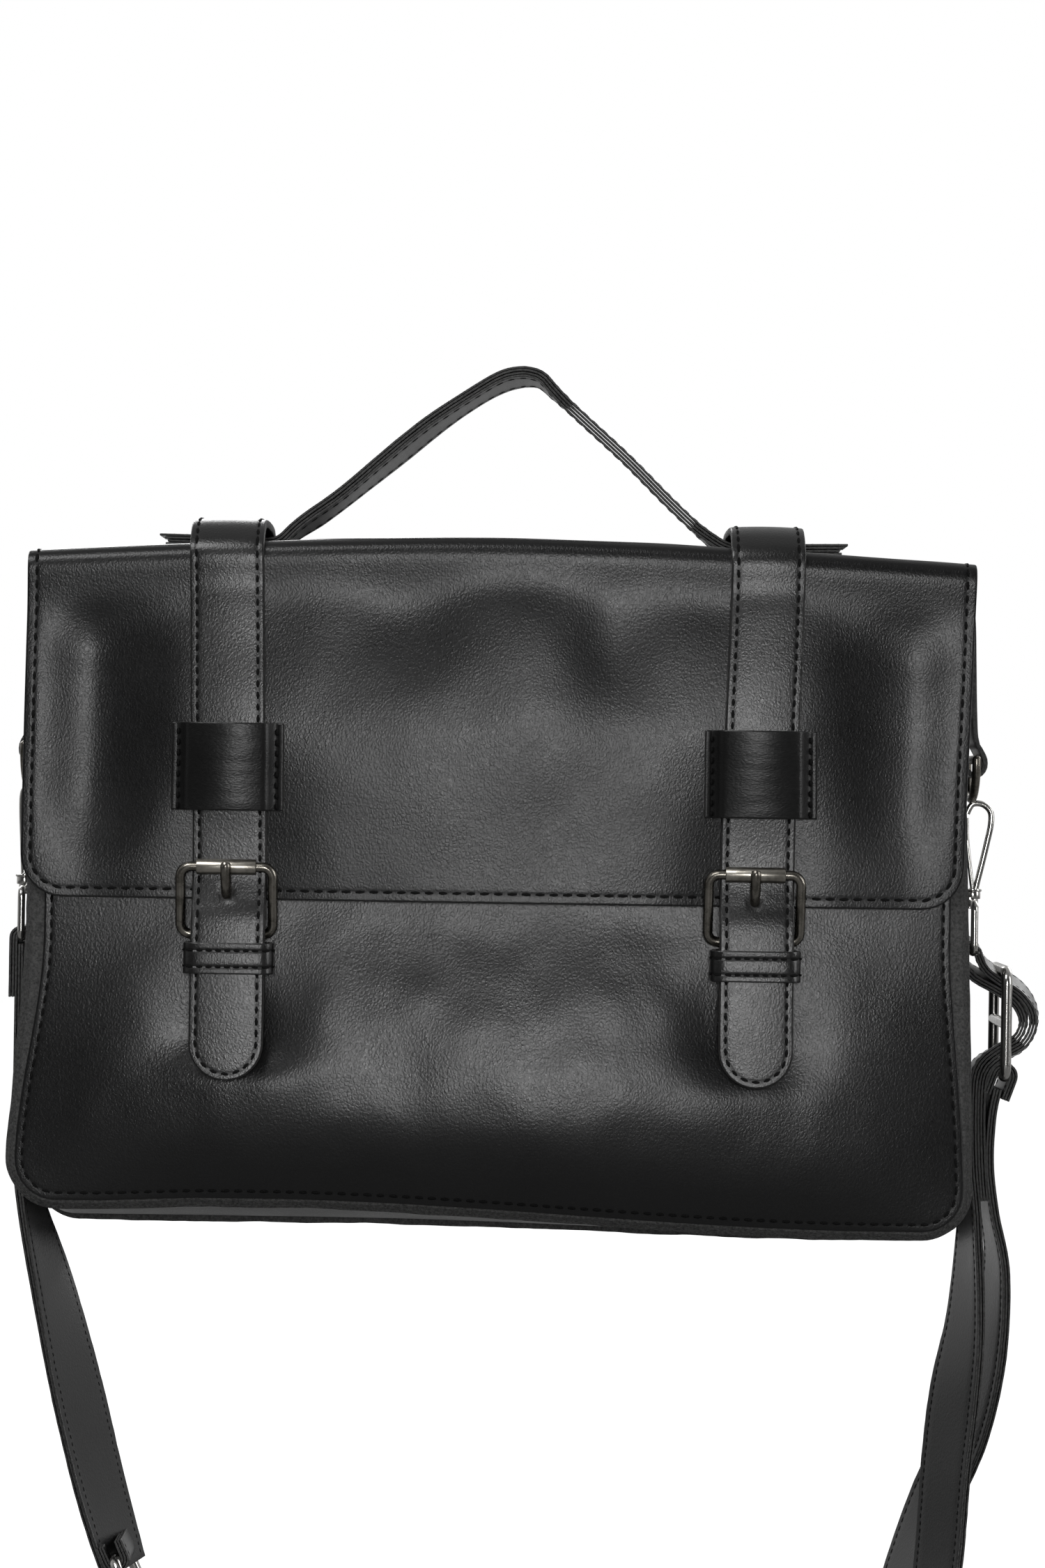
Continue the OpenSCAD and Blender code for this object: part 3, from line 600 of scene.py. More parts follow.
def tube(low, high, radius, bore, sides, rounding):
    # turned piece between two points, open through its bore if it has one
    low, high = Vector(low), Vector(high)
    ahead = high - low
    place = Matrix.Translation((low + high) / 2) @ ahead.to_track_quat("Z", "Y").to_matrix().to_4x4()
    shape = bmesh.new()
    half = ahead.length / 2
    profile = [(radius, -half), (radius, half)]
    if bore:
        profile += [(bore, half), (bore, -half), (radius, -half)]
    else:
        profile = [(0, -half)] + profile + [(0, half)]
    corners = [shape.verts.new((r, 0, z)) for r, z in profile]
    lines = [shape.edges.new(pair) for pair in zip(corners, corners[1:])]
    bmesh.ops.spin(shape, geom=corners + lines, cent=(0, 0, 0), axis=(0, 0, 1), angle=math.tau,
                   steps=sides, use_merge=True)
    bmesh.ops.remove_doubles(shape, verts=shape.verts, dist=1e-4)
    bmesh.ops.recalc_face_normals(shape, faces=shape.faces)
    rim = [e for e in shape.edges if len(e.link_faces) == 2 and e.calc_face_angle(0) > 1.2]
    bmesh.ops.bevel(shape, geom=rim, offset=rounding, segments=2, profile=0.5, affect="EDGES", material=-1)
    bmesh.ops.transform(shape, matrix=place, verts=shape.verts)
    return shape


random.seed(11)


# the flap: one leather sheet over the top and down the front
flap = {"half": 188.0, "taper": 0.007, "lean": 2.4, "rear": 39.0, "front": -39.8, "bend": 6.0, "top": -66.5,
        "bottom": -211.5, "radius": 17.0, "crown": 8.0, "thick": 2.6, "rail": 3.7,
        "stitch": (5.5, 4.1, 0.68, 0.0), "insets": [9, 6.6, 5.2, 4.3, 3.7, 3.1, 2.2, 0.9, 0],
        "rounding": 0.45, "dip": 0.5, "lined": True, "body": "flap_back", "slot": "body_leather",
        "finish": "flapLeather"}
flapBend = {"body": "flap", "start": (7.5, -34, -66.5), "end": (7.5, -46.5, -88)}
flapTopRun = flap["rear"] - flap["front"]
flapTurnRun = flapTopRun + flap["bend"] * math.pi / 2
flapLength = flapTurnRun + (flap["top"] - flap["bend"]) - flap["bottom"]


def flapSwell(x, z):
    # how far the hanging front stands forward of flat
    side = 1 - (abs(x) / 190) ** 3
    swell = 4.2 * side * smoothStep(-72, -150, z) - 4.4 * math.exp((z + 72) / 18)
    swell += 1.5 * bump(x, 10, 36) * bump(z, -104, 40)
    swell -= 1.3 * bump(x, -38, 26) * bump(z, -102, 18) + 1.7 * bump(x, 44, 16) * bump(z, -108, 24)
    hollow = smoothStep(-80, -112, z) * (1 - 0.6 * smoothStep(-165, -205, z))
    valley = smoothStep(-186, -160, x) - 0.75 * smoothStep(-160, -121, x) - 0.25 * smoothStep(-121, -70, x)
    swell -= 4.8 * hollow * valley
    swell -= 3.4 * hollow * (smoothStep(186, 163, x) - smoothStep(163, 119, x))
    strapped = max(bump(x, -106, 26), bump(x, 102, 26)) * smoothStep(-140, -192, z)
    swell = mix(swell, min(swell, 0.6), strapped)
    return swell + 0.5 * wobble(x, 0, z, 46) + 0.15 * wobble(x, 3, z, 19)


def flapPlace(x, y, h):
    down = smoothStep(flapTopRun - 10, flapLength, y)
    across = x * (1 - flap["taper"] * down) - flap["lean"] * down
    drop = flap["crown"] * min(1.3, abs(x) / flap["half"]) ** 1.6 * (1 - down)
    if y < flapTopRun:
        sway = 0.5 * wobble(x, y, 0, 40) * smoothStep(0, 12, y)
        return Vector((across, flap["rear"] - y, flap["top"] + h - drop + sway))
    if y < flapTurnRun:
        a = (y - flapTopRun) / flap["bend"]
        r = flap["bend"] + h
        z = flap["top"] - flap["bend"] + r * math.cos(a) - drop
        return Vector((across, flap["front"] - r * math.sin(a), z))
    z = flap["top"] - flap["bend"] - (y - flapTurnRun)
    fade = smoothStep(0, 25, y - flapTurnRun)
    return Vector((across, flap["front"] - flap["bend"] - h - flapSwell(x, z) * fade, z - drop))


def makeFlap():
    outline = (flap["half"], flapLength, flap["radius"])
    makeSewn(("flap_leather", "flap_stitching"), flap, roundedSheet(*outline, flap["insets"], 124, 3.0),
             lambda x, y: 0.3 * bump(edgeGap(*outline, x, y), flap["rail"], 0.55),
             [outlineRun(*outline, flap["rail"], 6)], flapPlace, ["flap_top", "flap_front"], flapBend)


# the sheet's rear edge, rolled over and sewn to the back
hinge = {"half": 184.5, "thick": 2.2, "rail": 3.6, "stitch": (5.5, 4, 0.48, -0.2), "rounding": 0.45,
         "dip": 0.3, "body": "bag", "slot": "body_leather", "finish": "bodyLeather",
         "path": [(0, 41.0, -66.7), (0, 43.6, -68.2), (0, 45.1, -71.5), (0, 45.3, -78), (0, 45.2, -88),
                  (0, 45.2, -98)]}
hingeBend = {"body": "flap_back", "start": (7.5, 45, -79), "end": (7.5, 41.5, -67)}
hingeRoute = makeRoute(hinge["path"], (1, 0, 0), 2)


def hingePlace(x, y, h):
    drop = flap["crown"] * (abs(x) / flap["half"]) ** 1.6 * (1 - smoothStep(4, 22, y))
    return onRoute(hingeRoute, y, x, h) - Vector((0, 0, drop))


def makeHinge():
    length = hingeRoute["length"]
    stations = mirrored([0, 0.9, 4] + [20 + 13 * i for i in range(13)], hinge["half"])
    seam, end = length - hinge["rail"], hinge["half"] - 5
    makeSewn(("hinge_leather", "hinge_stitching"), hinge, gridSheet(stations, evenly(0, length, 1.5)),
             lambda x, y: bump(y, seam, 0.6), [[(-end, seam), (end, seam)]], hingePlace, [], hingeBend)


# two closing straps, each sewn on top and hanging down the front
strap = {"half": 14.6, "thick": 3.2, "radius": 14.6, "rail": 2.6, "slotLow": -213.0, "slotHigh": -207.5,
         "insets": [5.4, 3.9, 3.2, 2.6, 2.0, 1.4, 0.7, 0], "stitch": (4.6, 3.4, 0.66, 0.0),
         "rounding": 0.6, "dip": 0.5, "body": "flap_back", "slot": "strap_leather", "finish": "strapLeather",
         "path": [(36, -69.4), (24, -69.4), (14, -64.4), (6, -63.2), (-8, -63.0), (-26, -63.2), (-36, -64.8),
                  (-43, -70), (-46.4, -78), (-46.7, -120), (-46.7, -178), (-47.2, -198.6), (-49.3, -212),
                  (-51.6, -225.4), (-54.5, -282.5)],
         "left": {"high": -109.2, "low": -106.0}, "right": {"high": 105.0, "low": 102.3}}
strapRoute = makeRoute([(0, y, z) for y, z in strap["path"]], (1, 0, 0), 2)


def strapMiddle(side, z):
    return mix(strap[side]["high"], strap[side]["low"], smoothStep(-60, -200, z))


def strapPlacer(side):
    def place(x, y, h):
        spot = onRoute(strapRoute, y, 0, h + strap["thick"])
        dome = 0.5 * (1 - (x / strap["half"]) ** 2) if h > -strap["thick"] / 2 else 0
        out = onRoute(strapRoute, y, 0, h + strap["thick"] + dome)
        sway = 0.35 * wobble(strap[side]["high"], spot.y, spot.z, 30)
        across = strapMiddle(side, spot.z) + x + sway
        # it lies on the flap's swell down to its buckle
        onFlap = smoothStep(-74, -92, spot.z) * (1 - smoothStep(-190, -206, spot.z))
        rise = flapSwell(strapMiddle(side, spot.z) + 0.6 * x, spot.z) if onFlap else 0
        return Vector((across, out.y - rise * onFlap, out.z))
    return place


def makeStrap(side):
    outline = (strap["half"], strapRoute["length"], strap["radius"])
    # the prong's slot is sunk between two heights and fully marked, so the finish paints it dark with the
    # shade of the hole
    shift = buckle[side] - strap[side]["low"]
    slotAt = [s for s in strapRoute["far"]
              if strap["slotLow"] < onRoute(strapRoute, s, 0, 0).z < strap["slotHigh"]]

    def groove(x, y):
        rail = bump(edgeGap(*outline, x, y), strap["rail"], 0.5)
        slot = 1.0 if abs(x - shift) < 2.6 and slotAt[0] < y < slotAt[-1] else 0.0
        return max(rail * 0.3, slot * 2)
    makeSewn(("strap_" + side, "strap_stitching_" + side), strap,
             roundedSheet(*outline, strap["insets"], 10, 2.2), groove,
             [outlineRun(*outline, strap["rail"], 4)], strapPlacer(side),
             ["front_strap_top_" + side, "front_strap_" + side], flapBend)


# wide loops that the straps run through
loop = {"half": 22.2, "high": -141.8, "low": -176.4, "thick": 2.3, "rail": 19.6, "left": -107.4,
        "right": 103.1, "insets": [0, 0.8, 1.6, 2.1, 2.6, 3.1, 3.8, 5.2, 6.4, 7.6, 9, 11, 13.5, 16, 19],
        "stitch": (4.2, 3.0, 0.75, 0.0), "rounding": 0.5, "dip": 0.7, "body": "flap", "slot": "strap_leather",
        "finish": "bandLeather"}


def loopPlacer(side):
    def place(x, y, h):
        u, z = abs(x), loop["high"] - y
        lift = 0.3 + 4.4 * smoothStep(19.2, 15.0, u) + 2.6 * max(0, 1 - (u / 15.2) ** 2)
        lift += 0.1 * wobble(x * 0.35, 5, z * 1.6, 5, 3) * smoothStep(18, 12, u) * (h > -1)
        out = 45.8 + flapSwell(loop[side] + x, z) + lift + h + loop["thick"]
        return Vector((loop[side] + x + 0.4 * wobble(0, 0, z, 14, loop[side]), -out, z))
    return place


def makeLoop(side):
    tall = loop["high"] - loop["low"]
    rows = [0, 0.7] + evenly(1.6, tall - 1.6, 1.1) + [tall - 0.7, tall]
    makeSewn(("loop_leather_" + side, "loop_stitching_" + side), loop,
             gridSheet(mirrored(loop["insets"], loop["half"]), rows),
             lambda x, y: 0.5 * bump(abs(x), loop["rail"], 0.5), alongRails(loop["rail"], 1.5, tall - 1.5),
             loopPlacer(side), ["strap_loop_" + side])


# narrow keepers below the buckles
keeper = {"high": -228.4, "low": -240.6, "thick": 1.9, "left": -105.6, "right": 101.9, "rail": 2.9,
          "insets": [0, 0.7, 1.8, 2.4, 2.9, 3.4, 4.2, 5.2], "stitch": (3.6, 2.7, 0.55, 0.0), "tilt": 3,
          "rounding": 0.4, "dip": 0.8, "body": "flap", "slot": "strap_leather", "finish": "strapLeather",
          "path": [(0, -45.7, 0), (-13.6, -45.8, 0), (-15.6, -47.6, 0), (-15.9, -51.0, 0), (-15.6, -54.3, 0),
                   (-13.4, -55.9, 0), (0, -56.3, 0), (13.4, -55.9, 0), (15.6, -54.3, 0), (15.9, -51.0, 0),
                   (15.6, -47.6, 0), (13.6, -45.8, 0), (0, -45.7, 0)]}
keeperRoute = makeRoute(keeper["path"], (0, 0, 1), 1.6)


def keeperPlacer(side):
    def place(x, y, h):
        spot = onRoute(keeperRoute, y, x, h + keeper["thick"])
        z = (keeper["high"] + keeper["low"]) / 2 + spot.z
        lean = math.tan(math.radians(keeper["tilt"])) * (-235 - z)
        return Vector((keeper[side] + spot.x, spot.y - lean, z))
    return place


def makeKeeper(side):
    half, length = (keeper["high"] - keeper["low"]) / 2, keeperRoute["length"]
    rail = half - keeper["rail"]
    makeSewn(("keeper_leather_" + side, "keeper_stitching_" + side), keeper,
             gridSheet(mirrored(keeper["insets"], half), evenly(0, length, 1.6)),
             lambda x, y: 0.4 * bump(abs(x), rail, 0.45), alongRails(rail, 20, length - 20),
             keeperPlacer(side), ["keeper_" + side])


# chapes behind the straps, which hold buckle and keeper
chape = {"half": 12.0, "thick": 2.6, "high": -206.0, "low": -265.6, "left": -105.8, "right": 101.9,
         "radius": 11.0, "rail": 3.2, "front": -46.0, "insets": [5, 3.8, 3.2, 2.7, 2.1, 0.8, 0],
         "rounding": 0.45, "dip": 0.3, "body": "flap", "slot": "strap_leather", "finish": "strapLeather"}


def makeChape(side):
    outline = (chape["half"], chape["high"] - chape["low"], chape["radius"])

    def place(x, y, h):
        return Vector((chape[side] + x, chape["front"] - chape["thick"] - h, chape["high"] - y))
    makeSewn(("chape_leather_" + side,), chape, roundedSheet(*outline, chape["insets"], 8, 2.2),
             lambda x, y: bump(edgeGap(*outline, x, y), chape["rail"], 0.5), [], place,
             ["buckle_chape_" + side])


# the handle: four plies sewn together, their ends held flat under the straps
handle = {"half": 12.0, "trim": [0.0, -0.35, 0.1, -0.2], "ply": 0.98, "step": 1.18, "rounding": 0.25,
          "insets": [0, 0.4, 2.4, 3.2, 4, 7], "fray": (0.25, 6), "groove": 0.6, "stitch": (5.2, 3.9, 0.5),
          "sewn": {0: (8.8, 0, -0.88), 3: (8.6, 0.2, -0.15)}, "starts": 3, "stops": 0,
          "reach": [137.0, 136.2, 137.3, 139.5], "end": 142, "peak": 7.5,
          "line": [(-92, -67.6), (-84, -61.5), (-68, -50), (-47, -32.6), (-28, -17), (-10, -4.6), (0, 0.6),
                   (7.5, 2.1), (14, 1), (20, -4.4), (31, -14.4), (50, -31.4), (68, -49), (82, -61.5),
                   (92, -67.6)],
          "foot": [(142, -67.1), (124, -67.4), (103, -67.9)]}


def handleRun(side):
    # each half runs a little past the peak, so that the two overlap there
    if side == "left":
        line = [(-x, z) for x, z in handle["foot"]] + [p for p in handle["line"] if p[0] <= handle["peak"]]
        line.append((9.3, 1.95))
    else:
        line = [p for p in handle["line"] if p[0] >= handle["peak"]] + handle["foot"][::-1]
        line.insert(0, (5.8, 1.9))
    return [(x, 0, z) for x, z in line]


def makeHandleHalf(side):
    route = makeRoute(handleRun(side), (0, 1, 0), 2)
    for i, spot in enumerate(route["at"]):
        # the left half leans back and shows its underside, the right half stands edge on
        lean = mix(-6.5 - 1.6 * math.sin(spot.x / 8.5), 5.0, smoothStep(-4, 30, spot.x))
        lean = math.radians(lean * smoothStep(92, 74, abs(spot.x)))
        across, up = route["across"][i], route["up"][i]
        route["across"][i] = across * math.cos(lean) + up * math.sin(lean)
        route["up"][i] = up * math.cos(lean) - across * math.sin(lean)
    total = route["length"]
    cuts = [handle["end"] - reach for reach in handle["reach"]]
    spans = [(cut, total) if side == "left" else (0, total - cut) for cut in cuts]
    shape, thread = layPlies(handle, route, spans, 2)
    sign = -1 if side == "left" else 1
    bend = {"body": "handle", "start": (sign * 88, 0, -65), "end": (sign * 62, 0, -45)}
    stood = ["handle_end_left"] if side == "left" else ["handle_end_right", "handle_grip"]
    makePiece("handle_plies_" + side, shape, "flap_back", [leather["strapLeather"], cutEdge],
              stood, bend)
    makePiece("handle_stitching_" + side, thread, "flap_back", [blackThread], [], bend)


# buckles: a leaning wire frame, a roller on its upper bar and a short bent prong
buckle = {"wide": 36.4, "wire": 1.95, "corner": 4.2, "roller": 3.05, "rollerLong": 23.5, "left": -106.9,
          "right": 101.3, "topZ": -198.6, "topY": -53.3, "heelZ": -225.4, "heelY": -47.2, "prong": 2.05,
          "prongLine": [(-47.3, -223.2), (-48.2, -217), (-49.6, -211.6), (-52.4, -208.2), (-54.8, -205.2),
                        (-56.6, -201.6), (-57.4, -198.4), (-57.1, -196.6)]}


def makeBuckle(side):
    spec = buckle
    middle = spec[side]
    lean = Vector((0, spec["topY"] - spec["heelY"], spec["topZ"] - spec["heelZ"]))
    heel = Vector((middle, spec["heelY"], spec["heelZ"]))
    reach, way = lean.length, lean.normalized()
    half, r = spec["wide"] / 2, spec["corner"]
    points = []
    for turnX, turnS, first in ((half - r, reach - r, 0), (-half + r, reach - r, 90), (-half + r, r, 180),
                                (half - r, r, 270)):
        for k in range(7):
            a = math.radians(first + 15 * k)
            points.append(heel + Vector((turnX + r * math.cos(a), 0, 0)) + way * (turnS + r * math.sin(a)))
    line = []
    for here, after in zip(points, points[1:] + points[:1]):
        steps = max(1, int((after - here).length / 2))
        line += [here.lerp(after, k / steps) for k in range(steps)]
    makePiece("buckle_wire_" + side, wireRun(line, spec["wire"], True, 16), "flap",
              [metal["agedNickel"]], ["buckle_frame_" + side])
    ends = [Vector((middle + s * spec["rollerLong"] / 2, spec["topY"], spec["topZ"])) for s in (-1, 1)]
    makePiece("buckle_tube_" + side, tube(ends[0], ends[1], spec["roller"], spec["wire"] + 0.12, 40, 0.35),
              "roller_" + side, [metal["wornNickel"]], ["buckle_roller_" + side])
    spots = smoothLine([(middle, y, z) for y, z in spec["prongLine"]], 0.7)

    def thick(t):
        # full along the prong and round at its tip
        return spec["prong"] * min(1.0, math.sqrt(max(0.02, 1 - (1 - min(1.0, (1 - t) / 0.06)) ** 2)))
    makePiece("buckle_pin_" + side, wireRun(spots, thick, False, 16), "prong_" + side,
              [metal["agedNickel"]], ["buckle_prong_" + side])


makeFlap()
makeHinge()
print("flap is laid over the top")
for side in ("left", "right"):
    makeStrap(side)
    makeLoop(side)
    makeBuckle(side)
    makeKeeper(side)
    makeChape(side)
    makeHandleHalf(side)
print("straps, loops, keepers and handle are sewn")


# the body: front, back, gusset and lining, with the plied seam band round the front
body = {"sideTop": 179.8, "sideLow": 186.6, "waist": -226.0, "mouth": -86.0, "frontLow": -331.5,
        "backLow": -346.0, "radius": 16.5, "frontY": -42.4, "backY": 42.4, "rows": 3.0, "thick": 2.2,
        "rail": 3.0, "insets": [14, 9, 6, 4.4, 3.6, 3.0, 2.4, 1.0, 0],
        "stitch": (5.0, 3.7, 0.62, 0.0), "rounding": 0.5, "dip": 0.5, "lined": True, "body": "bag",
        "slot": "body_leather", "finish": "bodyLeather"}


def sideAt(z):
    # half the width of the body at a height
    if z > body["waist"]:
        return body["sideTop"]
    return mix(body["sideTop"], body["sideLow"], smoothStep(body["waist"], -318, z) ** 0.85)


def frontSwell(x, z):
    # the filled front stands forward low down, and pulls back to its seams
    side = max(0.0, 1 - (abs(x) / sideAt(z)) ** 3)
    drop = 6.0 * smoothStep(60, 170, x)
    foot = 1 - max(0.0, (-278 - drop - z) / (53.5 - drop)) ** 2.6
    inside = side * max(0.0, foot)
    low = 0.25 * smoothStep(-200, -262, z) + 0.75 * smoothStep(-212, -312, z)
    swell = 8.8 * low * inside - 3.4 * smoothStep(-124, -90, z)
    left = -148 - 20 * smoothStep(-262, -310, z)
    swell += 2.6 * smoothStep(-184, left + 10, x) * smoothStep(-196, -276, z) * inside
    near = max(bump(x, -106, 24), bump(x, 102, 24)) * smoothStep(-285, -262, z)
    swell = mix(swell, min(swell, 2.2), near)
    swell += low * inside * (1.0 * bump(x, 30, 40) - 0.8 * bump(x, -45, 30) + 0.8 * wobble(x, 0, z, 42, 7))
    return swell + 0.3 * inside * wobble(x, 4, z, 15, 3)


def sagAt(x, y, z):
    # the base hangs lower at the right, and its front seam is drawn up left of the middle
    front = mix(1.2, -8.0, smoothStep(-90, 150, x)) - 1.7 * smoothStep(-110, -165, x)
    back = mix(-1.2, -5.0, smoothStep(-60, 150, x))
    return mix(front, back, smoothStep(-42, 42, y)) * smoothStep(-245, -326, z)


def sag(spot):
    spot.x -= 3.6 * smoothStep(-236, -318, spot.z) * smoothStep(20, -180, spot.x)
    spot.z += sagAt(spot.x, spot.y, spot.z)
    return spot


def tuck(x, z):
    # behind the flap's valleys the front lies a little further back
    return 3.6 * smoothStep(-208, -182, z) * smoothStep(128, 146, abs(x)) * smoothStep(185, 171, abs(x))


def panelScale(z):
    # a panel is drawn as wide as its foot and drawn in higher up
    return sideAt(max(z, body["frontLow"] + body["radius"])) / body["sideLow"]


def frontPlace(x, y, h):
    z = body["mouth"] - y
    across = x * panelScale(z)
    return sag(Vector((across, body["frontY"] - h - frontSwell(across, z) + tuck(across, z), z)))


def backPlace(x, y, h):
    z = body["mouth"] - y
    swell = 1.2 * bump(x, 20, 90) * bump(z, -240, 60) + 0.5 * wobble(x, 9, z, 40)
    out = body["backY"] + h + swell * smoothStep(0, 20, body["sideLow"] - abs(x))
    return sag(Vector((x * panelScale(z), out, z)))


def makePanel(name, low, place, stood):
    outline = (body["sideLow"], body["mouth"] - low, body["radius"])
    makeSewn((name, name + "_stitching"), body, roundedSheet(*outline, body["insets"], 116, body["rows"]),
             lambda x, y: 0.3 * bump(edgeGap(*outline, x, y), body["rail"], 0.5) * (y > 2),
             [outlineRun(*outline, body["rail"], 4)], place, stood)


def bodyOutline(grow, low, radius, top):
    # x, z points down one side, round the corner and along the bottom; the other side mirrors it
    r = radius + grow
    points = [(sideAt(z) + grow, z) for z in evenly(top, low + radius, body["rows"])]
    wide = sideAt(low + radius)
    for k in range(1, 13):
        a = math.radians(90 * k / 12)
        points.append((wide - radius + r * math.cos(a), low + radius - r * math.sin(a)))
    points += [(x, low - grow) for x in evenly(wide - radius, 0, body["rows"])[1:]]
    return points + [(-x, z) for x, z in reversed(points[:-1])]


def outlineRoute(grow, low, radius, y, top):
    return routeAlong([Vector((x, y, z)) for x, z in bodyOutline(grow, low, radius, top)], (0, 1, 0))


# the gusset: one strip down the sides and along the bottom
gusset = {"half": 39.6, "thick": 2.4, "crease": 3.2, "rail": 3.0, "stitch": (5.0, 3.8, 0.42, -0.15),
          "insets": [0, 1, 2.2, 3, 3.8, 6, 10, 15, 20, 25, 30, 35], "rounding": 0.4, "dip": 0.3,
          "lined": True, "body": "bag", "slot": "body_leather", "finish": "bodyLeather"}
gussetRoute = outlineRoute(-0.2, -333.0, 15.5, 0.0, -76.0)


def gussetPlace(x, y, h):
    # x runs from the front edge to the back; the sides crease inward and the bottom slopes to the rear
    level = onRoute(gussetRoute, y, 0, 0).z
    x *= 1 - 0.1 * smoothStep(-104, -84, level)
    spot = onRoute(gussetRoute, y, x, 0)
    up = onRoute(gussetRoute, y, x, 1) - spot
    down = smoothStep(-300, -332, spot.z)
    crease = gusset["crease"] * bump(x, -2, 17) * (1 - down) * smoothStep(-70, -100, spot.z)
    crease += 0.5 * wobble(0, x, spot.z, 24, 2) + 1.2 * bump(x, 2, 26) * down
    spot.z -= down * 13.0 * smoothStep(-40, 40, x)
    return sag(spot + up * (h - crease))


def makeGusset():
    rail, length = gusset["half"] - gusset["rail"], gussetRoute["length"]
    makeSewn(("gusset_leather", "gusset_stitching"), gusset,
             gridSheet(mirrored(gusset["insets"], gusset["half"]), evenly(0, length, body["rows"])),
             lambda x, y: bump(abs(x), rail, 0.5), alongRails(rail, 4, length - 4), gussetPlace,
             ["side_gusset"])


# seam bands: thin cut plies side by side, each a little further out than the one before
band = {"ply": 0.56, "step": 0.76, "tall": 5.2, "grow": 0.5, "growth": 0.72, "top": -92.0,
        "front": {"plies": 5, "y": -41.3, "direction": 1, "low": body["frontLow"]},
        "back": {"plies": 3, "y": 41.6, "direction": -1, "low": body["backLow"]}}


def makeBand(end):
    spec, tall = band[end], band["tall"]
    direction = spec["direction"]
    shape = bmesh.new()
    for j in range(spec["plies"]):
        y = spec["y"] + direction * j * band["step"]
        route = outlineRoute(band["grow"] + band["growth"] * j, spec["low"], body["radius"], y, band["top"])
        total = route["length"]
        ply = gridSheet([-tall / 2 + tall * i / 5 for i in range(6)], evenly(0, total, 2.4))
        thicken(ply, band["ply"], 0.2)

        def stand(x, s, h):
            # drawn standing on edge: x runs outward from the seam and h is the ply's thickness
            spot = onRoute(route, s, 0, x - tall / 2 + 0.5)
            spread = 0.45 * wobble(s, j * 5, 0, 22, 1) + 0.2 * wobble(s, j * 7, 0, 6, 4)
            gape = 1.1 * (j - 1.5) * (bump(s, total * 0.115, 9) + bump(s, total * 0.88, 8))
            tide = -0.7 * frontSwell(spot.x * 0.985, spot.z + 2) * (direction > 0)
            out = onRoute(route, s, 0, x - tall / 2 + 0.5 + spread)
            out.y = y + h + direction * gape * smoothStep(0, 5, x + 2.6) + tide * 0.2
            return sag(out)
        lay(ply, stand)
        for face in ply.faces:
            face.material_index = 1
        bmesh.ops.recalc_face_normals(ply, faces=ply.faces)
        merge(shape, ply)
    makePiece(end + "_band", shape, "bag", [leather["bodyLeather"], cutEdge],
              [end + "_seam_welt"])


# the lining: thin cloth a little inside the leather
cloth = {"thick": 0.7, "rounding": 0.15, "half": 36.6, "panelHalf": 184.0, "gap": 5.4, "low": -331,
         "faceY": 39.4}


def makeLining():
    # the cloth shell inside the gusset and the panels
    half, wide = cloth["half"], cloth["panelHalf"]
    route = outlineRoute(-5.2, -329.5, 14.0, 0.0, -90.0)
    shape = gridSheet([-half + 2 * half * i / 14 for i in range(15)], evenly(0, route["length"], 5))
    thicken(shape, cloth["thick"], cloth["rounding"])

    def place(x, y, h):
        spot = onRoute(route, y, x, h)
        return sag(spot + Vector((0, 0, 0.4 * wobble(spot.x, x, spot.z, 20))))
    lay(shape, place)
    for sign in (1, -1):
        faceY = -sign * cloth["faceY"]
        sheet = roundedSheet(wide, body["mouth"] - cloth["low"] - 1.5, 13, [6, 2, 0], 60, 6)
        thicken(sheet, cloth["thick"], cloth["rounding"])

        def facing(x, y, h):
            z = body["mouth"] - 2 - y
            across = x * ((sideAt(z) - cloth["gap"]) / wide)
            back = tuck(across, z) if sign > 0 else 0
            out = sign * (h + cloth["thick"] + 0.5 * abs(wobble(x, faceY, z, 30)))
            return sag(Vector((across, faceY + back + out, z)))
        lay(sheet, facing)
        merge(shape, sheet)
    makePiece("lining_shell", shape, "bag", [lining, lining], ["lining"])


# tabs on the sides, each turned round its ring's bar
tab = {"half": 12.0, "thick": 2.0, "rail": 2.9, "end": 52, "insets": [0, 0.7, 2.2, 2.9, 3.6, 5.5, 8],
       "stitch": (3.6, 2.7, 0.36, -0.15), "rounding": 0.35, "dip": 0.3, "inset": {"left": 2.2, "right": 0.0},
       "body": "bag", "slot": "strap_leather", "finish": "strapLeather",
       "path": [(190.6, -93.5), (191.0, -100), (191.4, -115), (191.9, -132), (192.6, -143), (194.6, -147.6),
                (196.3, -151.2), (196.2, -155.2), (193.4, -158.0), (190.0, -156.8), (188.4, -153.4),
                (188.8, -147), (188.9, -134)]}


def makeTab(side):
    sign = -1 if side == "left" else 1
    route = makeRoute([(sign * (x - tab["inset"][side]), 0, z) for x, z in tab["path"]], (0, sign, 0), 1.5)
    rail, end = tab["half"] - tab["rail"], tab["end"]

    def place(x, y, h):
        frayed = 0.5 * wobble(x, 0, 0, 2.2, sign) * smoothStep(6, 0, y)
        return onRoute(route, y + frayed, x, h + tab["thick"] / 2)
    makeSewn(("tab_leather_" + side, "tab_stitching_" + side), tab,
             gridSheet(mirrored(tab["insets"], tab["half"]), evenly(0, route["length"], 1.6)),
             lambda x, y: max(bump(abs(x), rail, 0.5), bump(y, end, 0.6)),
             alongRails(rail, 3, end) + [[(-9, end - 0.5), (9, end - 0.5)]], place, ["side_tab_" + side])


makePanel("front_leather", body["frontLow"], frontPlace, ["front_panel"])
makePanel("back_leather", body["backLow"], backPlace, ["back_panel"])
makeGusset()
makeBand("front")
makeBand("back")
makeLining()
for side in ("left", "right"):
    makeTab(side)
print("body is sewn together")


